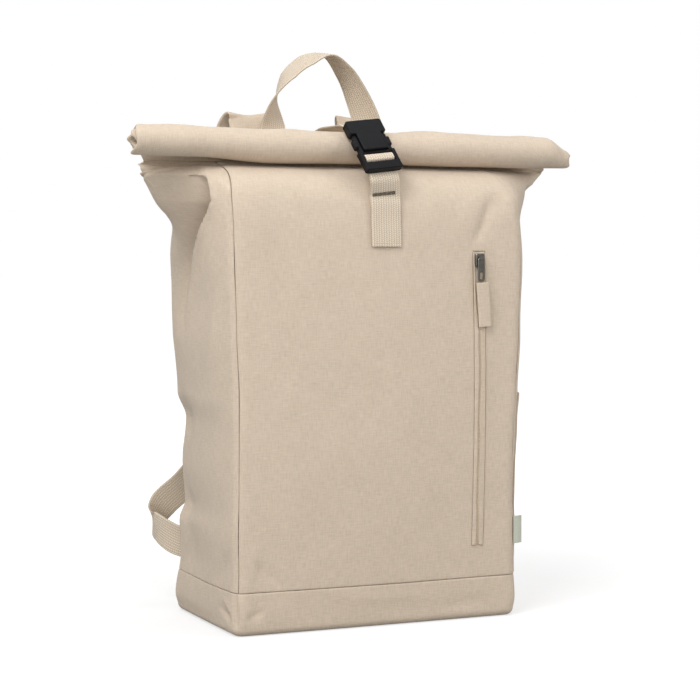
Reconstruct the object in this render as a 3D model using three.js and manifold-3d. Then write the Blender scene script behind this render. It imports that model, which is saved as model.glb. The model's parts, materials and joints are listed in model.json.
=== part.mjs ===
// A rolltop backpack in cotton canvas, standing on its base with the roll closed.
// Millimetres, +Z up, the front faces -Y and the wearer's back is at +Y.
// The origin is the middle of the flat base.
import * as THREE from 'three';
import Module from 'manifold-3d';
import { mergeVertices } from 'three/addons/utils/BufferGeometryUtils.js';

const wasm = await Module();
wasm.setup();

// Driving sizes of the bag
const bodyWidth = 280;          // front panel, seam to seam
const bodyDepth = 165;          // side panel, seam to seam
const bandHeight = 40;          // band round the bottom, up to its seam
const shoulderHeight = 433;     // where the front panel turns back under the roll
const foldStart = 300;          // where the sides begin to fold flat
const cornerRadius = 10;        // upright corners
const baseRadius = 7;           // bottom edge
const clothWall = 1.6;          // canvas with its turnings
const seamGap = 0.3;            // between pieces that are sewn together
const frontSwell = 8;           // how far the front panel bulges
const backSwell = 4;
const sideShift = 4;            // the filled middle leans a little to the right

// The roll: both layers of the neck, flattened and wound forwards
const rollHeight = 31.5;
const rollDepth = 39;
const rollLean = 44;            // roll centre in front of the bag's middle
const rollRest = 2;             // from the shoulder up to the roll
const rollTurns = 2.2;
const rollPitch = 4.8;          // one turn to the next
const rollWall = 1.2;
const rollSlot = 0.5;           // between the two flattened layers
const neckDrop = 7.6;           // neck seam below the roll's centre
const neckHalf = 2.6;           // half depth of the flat neck
const collarDrop = 6;           // collar seam below the flat neck

// Webbing and straps
const webWidth = 30;
const webThick = 1.8;
const strapWidth = 45;
const strapThick = 3;

// Side-release buckle, measured along the strap
const buckleWidth = 38;
const buckleThick = 9.4;
const buckleLength = 59;
const femaleLength = 36;
const buckleFit = 0.4;

// Zip in the front panel
const zipCentre = 108;
const zipBottom = 71;
const zipTop = 353;
const zipSlot = 13;
const zipTapeThick = 1;
const pullerWidth = 13;
const pullerLength = 42;

// Slip pocket and label on the right
const pocketHeight = 215;
const pocketMouth = 9;
const labelHeight = 27;
const labelReach = 10;
const labelBase = 70;
const labelThick = 1.2;

const canvas = { color: 0xd2c0a5, roughness: 0.95, metalness: 0 };
const webbing = { color: 0xc9b79c, roughness: 0.95, metalness: 0 };
const plastic = { color: 0x15161a, roughness: 0.35, metalness: 0 };
const metal = { color: 0x9b978d, roughness: 0.35, metalness: 0.9 };
const tagCloth = { color: 0xbfc2b0, roughness: 0.9, metalness: 0 };

// Values that follow from the driving sizes
const halfWidth = bodyWidth / 2;
const halfDepth = bodyDepth / 2;
const layerHalf = rollWall + rollSlot / 2;
const rollRise = (rollHeight + rollPitch) / 2 - layerHalf;
const rollReach = (rollDepth + rollPitch / 2) / 2 - layerHalf;
const rollY = -rollLean;
const rollZ = shoulderHeight + rollRest + rollRise - 0.75 * rollPitch + layerHalf;
const rollTop = rollZ + rollRise - 0.25 * rollPitch + layerHalf;
const neckHeight = rollZ - neckDrop;
const collarSeam = neckHeight - collarDrop;
const neckY = rollY + rollReach;
const wingReach = Math.sqrt(halfDepth ** 2 - neckHalf ** 2);
const rollHalfLength = halfWidth + wingReach;
const tuckDrop = 8.5;              // how far below the shoulder the wings begin to be drawn in
const wingTuck = { left: 0.24, right: 0 };   // share of a wing drawn in at the collar's seam
const neckTuck = { left: 6, right: 0 };      // how far an end of the neck is drawn in
const diagonal = Math.SQRT1_2;

// Pleats and dents of the cloth. Heights are shares of the shoulder height,
// places across a side run from -1 at its front seam to 1 at its back seam.
const pleats = [
  {
    side: 'left', depth: 30, top: 0.975, low: 0.62, width: 0.17,
    ridgeLow: 0.29, ridgeTop: -0.79, ridgeFrom: 0.66, ridgeTo: 0.92,
  },
  {
    side: 'right', depth: 12, top: 0.97, low: 0.68, width: 0.25,
    ridgeLow: 0.35, ridgeTop: -0.40, ridgeFrom: 0.68, ridgeTo: 0.90,
  },
];
const dents = [
  { side: 'left', height: 0.90, across: 0.22, depth: -4, radius: 0.06 },
  { side: 'left', height: 0.43, across: 0.72, depth: 6, radius: 0.06 },
  { side: 'left', height: 0.245, across: 0.75, depth: 5, radius: 0.05 },
  { side: 'left', height: 0.165, across: 0.40, depth: 4, radius: 0.06 },
];

// How far each upright corner stands out from the plain box; heights are shares again
const corners = [
  { height: 0, frontLeft: 0, backLeft: 3, backRight: 6, frontRight: 9 },
  { height: 0.04, frontLeft: 0, backLeft: 7, backRight: 8, frontRight: 11 },
  { height: 0.13, frontLeft: 0, backLeft: 2, backRight: 5, frontRight: 8 },
  { height: 0.21, frontLeft: 1, backLeft: 5, backRight: 5, frontRight: 7 },
  { height: 0.25, frontLeft: 1, backLeft: -1, backRight: 4, frontRight: 6 },
  { height: 0.34, frontLeft: 1, backLeft: 2, backRight: 5, frontRight: 6 },
  { height: 0.44, frontLeft: 1, backLeft: -2, backRight: 6, frontRight: 7 },
  { height: 0.50, frontLeft: 1, backLeft: 7, backRight: 7, frontRight: 9 },
  { height: 0.64, frontLeft: 3, backLeft: 12, backRight: 8, frontRight: 12 },
  { height: 0.80, frontLeft: 4, backLeft: 12, backRight: 9, frontRight: 15 },
  { height: 0.92, frontLeft: 4, backLeft: 8, backRight: 8, frontRight: 12 },
  { height: 1, frontLeft: 0, backLeft: 0, backRight: 0, frontRight: 0 },
];
const easeFrom = 0.86;          // share of a panel's half width where its corner's reach begins
const sideSwell = { left: 8, right: 13 };

// How the roll swells along its length and how far it is lifted, as shares of its height
const rollSwells = [
  { along: -1.0, size: 0.84, lift: 0.10 },
  { along: -0.74, size: 0.86, lift: 0.085 },
  { along: -0.40, size: 1.03, lift: 0 },
  { along: -0.06, size: 0.97, lift: 0 },
  { along: 0.10, size: 0.97, lift: 0 },
  { along: 0.42, size: 1.04, lift: 0 },
  { along: 0.75, size: 1.0, lift: 0 },
  { along: 0.89, size: 0.95, lift: 0 },
  { along: 1.0, size: 0.52, lift: -0.16 },
];

const vec = (x, y, z) => new THREE.Vector3(x, y, z);
const clamp = (value, low, high) => Math.min(high, Math.max(low, value));
const mix = (a, b, share) => a + (b - a) * share;

// Value of a table's column at a place between its rows
function lookUp(rows, keyName, valueName, key) {
  if (key <= rows[0][keyName]) return rows[0][valueName];
  for (let i = 1; i < rows.length; i += 1) {
    const before = rows[i - 1];
    const after = rows[i];
    if (key <= after[keyName]) {
      const share = (key - before[keyName]) / (after[keyName] - before[keyName]);
      return mix(before[valueName], after[valueName], share * share * (3 - 2 * share));
    }
  }
  return rows[rows.length - 1][valueName];
}

// The section of the bag at height z: a rounded box low down, whose front and back
// come together at the neck while the middle of each side travels outwards.
function sectionAt(z) {
  const frontShare = clamp((z - foldStart) / (shoulderHeight - foldStart), 0, 1);
  const backShare = clamp((z - foldStart) / (neckHeight - foldStart), 0, 1);
  const frontTravel = neckY - neckHalf + halfDepth;
  const backTravel = halfDepth - neckY - neckHalf;
  const front = -halfDepth + frontTravel * (1 - Math.sqrt(1 - frontShare ** 8));
  const back = halfDepth - backTravel * (1 - Math.sqrt(1 - backShare ** 4));
  const half = (back - front) / 2;
  return {
    front,
    back,
    half,
    middle: (front + back) / 2,
    radius: Math.min(cornerRadius, 0.45 * half),
    fullness: Math.sin(Math.PI * clamp(z / neckHeight, 0, 1)) ** 0.8,
  };
}

// How far the middle of a side travels outwards at height z
function wingAt(side, z) {
  const under = (z - shoulderHeight + tuckDrop) / (collarSeam - shoulderHeight + tuckDrop);
  const tuck = 1 - wingTuck[side] * clamp(under, 0, 1);
  return tuck * Math.sqrt(Math.max(0, halfDepth ** 2 - sectionAt(z).half ** 2));
}

const cornerReach = (name, z) => lookUp(corners, 'height', name, z / shoulderHeight);

// Point of the front (sign -1) or back (sign 1) panel; u runs -1 to 1 from left to right
function panelPoint(sign, u, z) {
  const s = sectionAt(z);
  const seam = halfWidth - s.radius * (1 - diagonal);
  const x = u * seam;
  const past = Math.max(0, Math.abs(x) - (halfWidth - s.radius));
  const turned = s.radius - Math.sqrt(s.radius ** 2 - past ** 2);
  const swell = (sign < 0 ? frontSwell : backSwell) * (1 - u * u) * s.fullness;
  const face = sign < 0 ? s.front : s.back;
  const ease = clamp((Math.abs(u) - easeFrom) / (1 - easeFrom), 0, 1);
  const corner = (sign < 0 ? 'front' : 'back') + (u < 0 ? 'Left' : 'Right');
  const stand = Math.sign(u) * cornerReach(corner, z) * ease * (2 - ease);
  return vec(x + stand + sideShift * s.fullness, face - sign * turned + sign * swell, z);
}

// Inward depth of the pleats and dents of a side
function sideHollow(side, t, z) {
  let hollow = 0;
  for (const p of pleats) {
    const rise = (z / shoulderHeight - p.low) / (p.top - p.low);
    if (p.side === side && rise > 0 && rise < 1) {
      const turn = clamp((z / shoulderHeight - p.ridgeFrom) / (p.ridgeTo - p.ridgeFrom), 0, 1);
      const q = Math.max(0, (t - mix(p.ridgeLow, p.ridgeTop, turn ** 1.3)) / p.width);
      hollow += p.depth * Math.sin(Math.PI * rise ** 1.6) ** 0.7 * q * Math.exp(1 - q);
    }
  }
  for (const d of dents) {
    if (d.side === side) {
      const up = (z / shoulderHeight - d.height) / d.radius;
      const over = (t - d.across) * halfDepth / (d.radius * shoulderHeight);
      hollow += d.depth * Math.exp(-up * up - over * over);
    }
  }
  return hollow * (1 - t ** 4);
}

// Point of a side; t runs -1 to 1 from the front seam to the back seam
function sidePoint(side, t, z) {
  const s = sectionAt(z);
  const sign = side === 'left' ? -1 : 1;
  const reach = s.half - s.radius * (1 - diagonal);
  const thin = Math.min(1, Math.abs(t) / 0.06);
  const least = Math.min(neckHalf, s.half) * Math.sqrt(thin * (2 - thin));
  const off = Math.sign(t) * Math.min(reach, Math.max(Math.abs(t) * reach, least));
  const past = Math.max(0, Math.abs(off) - (s.half - s.radius));
  const turned = s.radius - Math.sqrt(Math.max(0, s.radius ** 2 - past ** 2));
  const soft = 0.15;
  const full = Math.sqrt(1 + soft * soft);
  const tent = wingAt(side, z) * (full - Math.sqrt(t * t + soft * soft)) / (full - soft);
  const swell = sideSwell[side] * (1 - t * t) * s.fullness;
  const hand = side === 'left' ? 'Left' : 'Right';
  const stand = mix(cornerReach(`front${hand}`, z), cornerReach(`back${hand}`, z), (t + 1) / 2);
  const out = halfWidth - turned + tent + swell + stand - sideHollow(side, t, z);
  return vec(sign * out + sideShift * s.fullness, s.middle + off, z);
}

// Columns of the closed ring round the bag
const zipEdges = [zipCentre - zipSlot / 2, zipCentre + zipSlot / 2];
const frontSeam = halfWidth - cornerRadius * (1 - diagonal);
const zipShares = zipEdges.map((x) => (x - sideShift) / frontSeam);
const frontShares = [-1, -0.965, -0.93, -easeFrom, -0.72, -0.48, -0.24, 0, 0.24, 0.48,
  ...zipShares, easeFrom, 0.93, 0.965, 1];
const backShares = [-1, -0.965, -0.93, -easeFrom, -0.5, 0, 0.5, easeFrom, 0.93, 0.965, 1];
const sideShares = [-1, -0.94, -0.88, -0.66, -0.5, -0.36, -0.18, -0.05,
  0.05, 0.18, 0.36, 0.55, 0.72, 0.88, 0.94, 1];

// The ring's points in order: front to the right, right side, back, left side
function ringAt(z) {
  const ring = [];
  for (const u of frontShares) ring.push(panelPoint(-1, u, z));
  for (const t of sideShares.slice(1)) ring.push(sidePoint('right', t, z));
  for (const u of [...backShares].reverse().slice(1)) ring.push(panelPoint(1, u, z));
  for (const t of [...sideShares].reverse().slice(1, -1)) ring.push(sidePoint('left', t, z));
  return ring;
}

// First and last column of each piece in the ring
const frontEnd = frontShares.length - 1;
const rightEnd = frontEnd + sideShares.length - 1;
const backEnd = rightEnd + backShares.length - 1;
const ringCount = backEnd + sideShares.length - 1;

// Rows from the band's seam to the collar's seam, closer together near the top
function bodyRows() {
  const low = bandHeight + seamGap / 2;
  const count = 15;
  const rows = [];
  for (let i = 0; i <= count; i += 1) {
    rows.push(low + (collarSeam - low) * (1 - (1 - i / count) ** 2.2));
  }
  for (const height of [zipBottom, zipTop]) {
    let nearest = 1;
    for (let i = 1; i < count; i += 1) {
      if (Math.abs(rows[i] - height) < Math.abs(rows[nearest] - height)) nearest = i;
    }
    rows[nearest] = height;
  }
  return rows;
}

// Outward direction at each point of rings that close on themselves
function outwardOf(rings) {
  return rings.map((ring, j) => ring.map((point, i) => {
    const count = ring.length;
    const along = ring[(i + 1) % count].clone().sub(ring[(i + count - 1) % count]);
    const above = rings[Math.min(j + 1, rings.length - 1)][i];
    const below = rings[Math.max(j - 1, 0)][i];
    return along.cross(above.clone().sub(below)).normalize();
  }));
}

// One mesh from points and triangles, turned so that its faces point outwards
function meshOf(name, look, points, triangles) {
  let volume = 0;
  for (const [a, b, c] of triangles) {
    volume += points[a].dot(points[b].clone().cross(points[c])) / 6;
  }
  const index = triangles.flatMap(([a, b, c]) => (volume > 0 ? [a, b, c] : [a, c, b]));
  const geometry = new THREE.BufferGeometry();
  geometry.setAttribute('position', new THREE.Float32BufferAttribute(
    points.flatMap((p) => [p.x, p.y, p.z]), 3));
  geometry.setIndex(index);
  geometry.computeVertexNormals();
  const mesh = new THREE.Mesh(geometry, new THREE.MeshStandardMaterial(look));
  mesh.name = name;
  return mesh;
}

// A wall between an outer and an inner grid of points, leaving out the cells
// for which open(row, column) is true, with a rim round every edge
function wallOf(name, look, outer, inner, open = () => false) {
  const rows = outer.length;
  const columns = outer[0].length;
  const points = [...outer.flat(), ...inner.flat()];
  const shift = rows * columns;
  const at = (j, i) => j * columns + i;
  const solid = (j, i) => j >= 0 && i >= 0 && j < rows - 1 && i < columns - 1 && !open(j, i);
  const triangles = [];
  const quad = (a, b, c, d) => triangles.push([a, b, c], [a, c, d]);
  for (let j = 0; j < rows - 1; j += 1) {
    for (let i = 0; i < columns - 1; i += 1) {
      if (!solid(j, i)) continue;
      const corner = [at(j, i), at(j, i + 1), at(j + 1, i + 1), at(j + 1, i)];
      quad(...corner);
      quad(...corner.map((k) => k + shift).reverse());
      const besides = [solid(j - 1, i), solid(j, i + 1), solid(j + 1, i), solid(j, i - 1)];
      besides.forEach((filled, side) => {
        if (filled) return;
        const a = corner[side];
        const b = corner[(side + 1) % 4];
        quad(b, a, a + shift, b + shift);
      });
    }
  }
  return meshOf(name, look, points, triangles);
}

// Columns first to last of the rings, drawn back by half a seam gap at both ends
function cutPanel(rings, first, last) {
  return rings.map((ring) => {
    const row = [];
    for (let i = first; i <= last; i += 1) row.push(ring[i % ring.length].clone());
    const inFromStart = row[1].clone().sub(row[0]).setLength(seamGap / 2);
    const end = row.length - 1;
    const inFromEnd = row[end - 1].clone().sub(row[end]).setLength(seamGap / 2);
    row[0].add(inFromStart);
    row[end].add(inFromEnd);
    return row;
  });
}

function bodyPanels() {
  const rows = bodyRows();
  const rings = rows.map(ringAt);
  const outward = outwardOf(rings);
  const last = rows.length - 1;
  const inside = rings.map((ring, j) => ring.map((p, i) => {
    const out = outward[j][i].clone();
    if (j === last) out.setZ(0).normalize();
    const q = p.clone().addScaledVector(out, -clothWall);
    q.z = Math.min(q.z, collarSeam - 0.25 * (last - j));
    return q;
  }));
  const zipColumn = frontShares.indexOf(zipShares[0]);
  const zipOpen = (j, i) => i === zipColumn && rows[j] >= zipBottom && rows[j + 1] <= zipTop;
  const piece = (name, first, last, open) => wallOf(name, canvas,
    cutPanel(rings, first, last), cutPanel(inside, first, last), open);
  return [
    piece('front_panel', 0, frontEnd, zipOpen),
    piece('right_side', frontEnd, rightEnd),
    piece('back_panel', rightEnd, backEnd),
    piece('left_side', backEnd, ringCount),
  ];
}

// Tray of the band and the flat base, with a rounded bottom edge
function baseBand() {
  const layer = (inset) => {
    const bend = Math.max(1, baseRadius - inset);
    const rings = [];
    const top = bandHeight - seamGap / 2;
    const shrink = (ring, by, z) => {
      const flat = outwardOf([ring, ring.map((p) => vec(p.x, p.y, p.z + 1))])[0];
      return ring.map((p, i) => vec(p.x - flat[i].x * by, p.y - flat[i].y * by, z));
    };
    for (const angle of [0, 45, 90]) {
      const a = THREE.MathUtils.degToRad(angle);
      const z = inset + bend * (1 - Math.cos(a));
      rings.push(shrink(ringAt(baseRadius), inset + bend * (1 - Math.sin(a)), z));
    }
    rings.push(shrink(ringAt(top), inset, top));
    return rings;
  };
  const outer = layer(0);
  const inner = layer(clothWall);
  const count = outer[0].length;
  const points = [...outer.flat(), ...inner.flat()];
  const shift = outer.length * count;
  const triangles = [];
  for (let j = 0; j < outer.length - 1; j += 1) {
    for (let i = 0; i < count; i += 1) {
      const next = (i + 1) % count;
      const q = [j * count + i, j * count + next, (j + 1) * count + next, (j + 1) * count + i];
      triangles.push([q[0], q[1], q[2]], [q[0], q[2], q[3]]);
      const r = q.map((k) => k + shift);
      triangles.push([r[0], r[2], r[1]], [r[0], r[3], r[2]]);
    }
  }
  const rim = (outer.length - 1) * count;
  const low = points.push(vec(0, 0, 0)) - 1;
  const high = points.push(vec(0, 0, clothWall)) - 1;
  for (let i = 0; i < count; i += 1) {
    const next = (i + 1) % count;
    triangles.push([rim + next, rim + shift + next, rim + i], [rim + i, rim + shift + next,
      rim + shift + i]);
    triangles.push([low, next, i], [high, shift + i, shift + next]);
  }
  return meshOf('base_band', canvas, points, triangles);
}

// Front and back of the bag's section at height z and a place x across it
function depthAt(x, z) {
  const s = sectionAt(z);
  const wing = wingAt(x < 0 ? 'left' : 'right', z);
  const past = clamp((Math.abs(x) - halfWidth) / wing, 0, 1);
  const half = Math.max(neckHalf, s.half * (1 - past));
  return { middle: s.middle, half };
}

// The collar: a flattened tube of cloth that rises from its seam, then winds
// forwards as a flattened spiral down to the mouth inside the roll
function rollCollar() {
  const neckSteps = 4;
  const turnSteps = 11;
  const steps = neckSteps + Math.round(rollTurns * turnSteps);
  const columns = rollSwells.map((row) => row.along);
  const seam = collarSeam + seamGap;
  const handOf = (along) => (along < 0 ? 'left' : 'right');
  const seamLength = (along) => halfWidth + wingAt(handOf(along), seam);
  // Centre of the tube at step k, with half its thickness outside and inside
  const station = (k, along) => {
    if (k < neckSteps) {
      const share = k / neckSteps;
      const wide = depthAt(along * seamLength(along), seam);
      const closing = (1 - share) ** 1.6;
      const half = mix(layerHalf, wide.half, closing);
      return {
        y: mix(neckY, wide.middle, closing),
        z: mix(seam, rollZ, share),
        half,
        hollow: Math.max(rollSlot / 2, half - rollWall * mix(1, 2.2, closing)),
      };
    }
    const turn = (k - neckSteps) / turnSteps;
    const grown = Math.min(1, turn * 4);
    const scale = mix(1, lookUp(rollSwells, 'along', 'size', along), grown);
    const lift = rollHeight * lookUp(rollSwells, 'along', 'lift', along) * grown;
    const angle = turn * 2 * Math.PI;
    return {
      y: rollY + (rollReach - rollPitch * turn) * scale * Math.cos(angle),
      z: rollZ + lift + (rollRise - rollPitch * turn) * scale * Math.sin(angle),
      half: layerHalf,
      hollow: rollSlot / 2,
    };
  };
  const loop = (k, which, trim) => {
    const drawn = Math.max(0, 1 - 5 * Math.max(0, k - neckSteps) / turnSteps);
    const reachAt = (along) => mix(seamLength(along),
      rollHalfLength - neckTuck[handOf(along)] * drawn, Math.min(1, k / neckSteps)) - trim;
    const side = (along, sign) => {
      const here = station(k, along);
      const before = station(Math.max(0, k - 1), along);
      const after = station(Math.min(steps, k + 1), along);
      const run = vec(0, after.y - before.y, after.z - before.z).normalize();
      const normal = k < neckSteps ? vec(0, 1, 0) : vec(0, run.z, -run.y);
      const p = vec(along * reachAt(along), here.y, here.z);
      return p.addScaledVector(normal, sign * here[which]);
    };
    const most = 1 - (which === 'half' ? layerHalf : rollSlot / 2) / reachAt(-1);
    const spots = columns.map((along) => clamp(along, -most, most));
    return [...spots.map((along) => side(along, 1)), side(1, 0),
      ...[...spots].reverse().map((along) => side(along, -1)), side(-1, 0)];
  };
  const outer = [];
  const inner = [];
  for (let k = 0; k <= steps; k += 1) {
    outer.push(loop(k, 'half', 0));
    inner.push(loop(k, 'hollow', rollWall));
  }
  return ringWall('roll_collar', canvas, outer, inner);
}

// A wall between two stacks of closed rings, with a rim at both ends
function ringWall(name, look, outer, inner) {
  const rows = outer.length;
  const count = outer[0].length;
  const points = [...outer.flat(), ...inner.flat()];
  const shift = rows * count;
  const triangles = [];
  const quad = (a, b, c, d) => triangles.push([a, b, c], [a, c, d]);
  for (let i = 0; i < count; i += 1) {
    const next = (i + 1) % count;
    for (let j = 0; j < rows - 1; j += 1) {
      const q = [j * count + i, j * count + next, (j + 1) * count + next, (j + 1) * count + i];
      quad(...q);
      quad(...q.map((k) => k + shift).reverse());
    }
    const top = (rows - 1) * count;
    quad(next, i, i + shift, next + shift);
    quad(top + i, top + next, top + next + shift, top + i + shift);
  }
  return meshOf(name, look, points, triangles);
}

// A flat strap along a line of stations, each with a centre and the direction
// of its width; the strap's section is a rectangle and both ends are closed
function strap(name, look, stations, width, thick) {
  const points = [];
  const count = stations.length;
  stations.forEach((station, k) => {
    const before = stations[Math.max(0, k - 1)].at;
    const after = stations[Math.min(count - 1, k + 1)].at;
    const tangent = after.clone().sub(before).normalize();
    const across = station.across.clone();
    across.addScaledVector(tangent, -across.dot(tangent)).normalize();
    const normal = tangent.clone().cross(across);
    for (const [w, n] of [[1, 1], [-1, 1], [-1, -1], [1, -1]]) {
      points.push(station.at.clone().addScaledVector(across, w * width / 2)
        .addScaledVector(normal, n * thick / 2));
    }
  });
  const triangles = [];
  for (let k = 0; k < count - 1; k += 1) {
    for (let c = 0; c < 4; c += 1) {
      const d = (c + 1) % 4;
      const a = k * 4;
      triangles.push([a + c, a + d, a + 4 + d], [a + c, a + 4 + d, a + 4 + c]);
    }
  }
  const end = (count - 1) * 4;
  triangles.push([0, 2, 1], [0, 3, 2], [end, end + 1, end + 2], [end, end + 2, end + 3]);
  return meshOf(name, look, points, triangles);
}

// Stations of a strap along a smooth curve through the rows of a short table.
// Each row has a place (x, y, z) and the turn of the width, in degrees, from
// the direction flat towards the direction edge.
function stationsThrough(rows, steps, flat, edge) {
  const curve = new THREE.CatmullRomCurve3(rows.map((r) => vec(r.x, r.y, r.z)), false,
    'centripetal');
  const list = [];
  for (let k = 0; k <= steps; k += 1) {
    const share = k / steps;
    const spot = share * (rows.length - 1);
    const i = Math.min(rows.length - 2, Math.floor(spot));
    const turn = THREE.MathUtils.degToRad(mix(rows[i].turn, rows[i + 1].turn, spot - i));
    const at = curve.getPoint(share);
    const across = flat(at, share).multiplyScalar(Math.cos(turn))
      .addScaledVector(edge, Math.sin(turn));
    list.push({ at, across });
  }
  return list;
}

// A place on the front (sign -1) or back (sign 1) panel, lifted off its outer face
function onPanel(sign, x, z, lift) {
  const place = (px, pz) => {
    const shifted = px - sideShift * sectionAt(pz).fullness;
    return panelPoint(sign, clamp(shifted / frontSeam, -1, 1), pz);
  };
  const besides = place(x + 1, z).sub(place(x - 1, z));
  const above = place(x, z + 1).sub(place(x, z - 1));
  const normal = besides.cross(above).normalize().multiplyScalar(-sign);
  return place(x, z).addScaledVector(normal, lift);
}

const across = vec(1, 0, 0);
const upward = vec(0, 0, 1);
const rearward = vec(0, 1, 0);
const sewn = seamGap + 0.5;     // from the cloth to a strap sewn on its curve

// Rows of places (x, y, z) as the table that a strap's line goes through
const row = (p, turn) => ({ x: p.x, y: p.y, z: p.z, turn });

// Grab handle: webbing sewn on the back at both ends, twisted as it rises
const handleMiddle = 14;        // middle of the loop, beside the bag's own middle
const handleReach = 110;        // the loop's top above the neck
const handleLoop = [
  // beside its middle, behind the bag's back, share of its reach, turn in degrees
  { beside: -53, behind: -7.5, share: -0.073, turn: 2 },
  { beside: -54, behind: -2.5, share: 0.109, turn: 6 },
  { beside: -54, behind: -0.5, share: 0.327, turn: 14 },
  { beside: -51, behind: -0.5, share: 0.582, turn: 66 },
  { beside: -38, behind: -2.5, share: 0.80, turn: 104 },
  { beside: -18, behind: -3.5, share: 0.945, turn: 112 },
  { beside: 4, behind: -3.5, share: 1, turn: 96 },
  { beside: 24, behind: -1.5, share: 0.845, turn: 72 },
  { beside: 40, behind: 0.5, share: 0.60, turn: 56 },
  { beside: 51, behind: 0.5, share: 0.345, turn: 38 },
  { beside: 56, behind: -2.5, share: 0.109, turn: 14 },
  { beside: 56, behind: -7.5, share: -0.073, turn: 0 },
];

function carryHandle() {
  const foot = (beside, below) => row(onPanel(1, handleMiddle + beside, neckHeight - below,
    sewn + webThick / 2), 0);
  const rows = [
    foot(-50, 56),
    foot(-50, 46),
    foot(-51, 36),
    ...handleLoop.map((r) => row(vec(handleMiddle + r.beside, halfDepth + r.behind,
      neckHeight + r.share * handleReach), r.turn)),
    foot(56, 36),
    foot(55, 46),
    foot(55, 56),
  ];
  // Flat direction: along x at the feet, square to the loop's run above them
  const hub = vec(handleMiddle, 0, neckHeight + 0.18 * handleReach);
  const flat = (at) => {
    const spoke = vec(hub.x - at.x, 0, hub.z - at.z).normalize();
    const level = clamp((at.z - hub.z) / 60, 0, 1);
    return vec(mix(Math.sign(spoke.x), spoke.x, level), 0, mix(0, spoke.z, level)).normalize();
  };
  return strap('carry_handle', webbing, stationsThrough(rows, 48, flat, rearward),
    webWidth, webThick);
}

// Shoulder straps, their sliders and the lower webbing; hand is -1 left, 1 right
const strapX = 58;
const sliderX = 96.5;           // the straps run outwards to their sliders
const sliderDrop = 262;         // slider's middle below the neck
const sliderSize = { width: 50, height: 22, thick: 4 };
const sliderY = halfDepth + 18;

function shoulderStrap(hand, name) {
  const foot = (below) => onPanel(1, hand * strapX, neckHeight - below,
    sewn + strapThick / 2);
  const mid = neckHeight - sliderDrop;
  const before = sliderY - sliderSize.thick / 2 - strapThick / 2 - sewn;
  const rows = [
    row(foot(96), 0),
    row(foot(84), 0),
    row(foot(72), 0),
    row(vec(hand * 57, halfDepth + 5, neckHeight - 40), 0),
    row(vec(hand * 57, halfDepth + 8, neckHeight - 2), 0),
    row(vec(hand * 58, halfDepth + 12, neckHeight + 32), 0),
    row(vec(hand * 60, halfDepth + 20, neckHeight + 47), 0),
    row(vec(hand * 64, halfDepth + 30, neckHeight + 40), 0),
    row(vec(hand * 69, halfDepth + 39, neckHeight + 12), 0),
    row(vec(hand * 76, halfDepth + 46, neckHeight - 45), 0),
    row(vec(hand * 83, halfDepth + 43, neckHeight - 115), 0),
    row(vec(hand * 89, halfDepth + 34, neckHeight - 180), 0),
    row(vec(hand * (sliderX - 2.5), sliderY + 5, neckHeight - 228), 0),
    row(vec(hand * (sliderX - 0.5), before, mid + 10), 0),
    row(vec(hand * sliderX, before - 0.2, mid + 3), 0),
  ];
  return strap(name, canvas, stationsThrough(rows, 34, () => across.clone(), upward),
    strapWidth, strapThick);
}

function strapSlider(hand, name) {
  const { width, height, thick } = sliderSize;
  const slot = (low, high) => block(-strapWidth / 2 + 4, strapWidth / 2 - 4,
    -thick, thick, low, high);
  const frame = block(-width / 2, width / 2, -thick / 2, thick / 2, -height / 2, height / 2)
    .subtract(slot(2, height / 2 - 3))
    .subtract(slot(-height / 2 + 3, -2));
  const mesh = solidMesh(name, plastic, frame);
  mesh.position.set(hand * sliderX, sliderY, neckHeight - sliderDrop);
  return mesh;
}

function lowerWebbing(hand, name) {
  const mid = neckHeight - sliderDrop;
  const behind = sliderY + sliderSize.thick / 2 + sewn + webThick / 2;
  const anchor = bandHeight + webWidth / 2 + 7;
  const foot = (x) => onPanel(1, hand * x, anchor, sewn + 0.4 + webThick / 2);
  // Each row: place, then the direction of the width as outward, back and up
  const edge = (at, out, back, up) => ({ at, across: vec(hand * out, back, up) });
  const out = (x, y, z) => vec(hand * x, y, z);
  const list = [
    edge(out(sliderX, behind, mid + 8), 1, 0, 0),
    edge(out(sliderX, behind, mid - 2), 1, 0, 0),
    edge(out(sliderX + 0.5, behind + 0.6, mid - 15), 1, 0, 0.1),
    edge(out(sliderX + 6.5, behind + 6, mid - 34), 0.9, 0, 0.4),
    edge(out(halfWidth - 20, halfDepth + 38, mid - 60), 0.75, 0, 0.65),
    edge(out(halfWidth + 2, halfDepth + 46, mid - 82), 0.45, 0, 0.85),
    edge(out(halfWidth + 14, halfDepth + 40, mid - 98), 0.1, -0.3, 0.95),
    edge(out(halfWidth + 11, halfDepth + 26, anchor + 13), 0, -0.2, 1),
    edge(out(halfWidth - 1, halfDepth + 12, anchor + 4), 0, 0, 1),
    edge(foot(halfWidth - 18), 0, 0, 1),
    edge(foot(halfWidth - 34), 0, 0, 1),
  ];
  return strap(name, webbing, smoothStations(list, 30), webWidth, webThick);
}

// A block between two corners, as a solid that can be joined and cut
function block(x0, x1, y0, y1, z0, z1) {
  const geometry = new THREE.BoxGeometry(x1 - x0, y1 - y0, z1 - z0);
  geometry.translate((x0 + x1) / 2, (y0 + y1) / 2, (z0 + z1) / 2);
  return solidOf(geometry);
}

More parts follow.
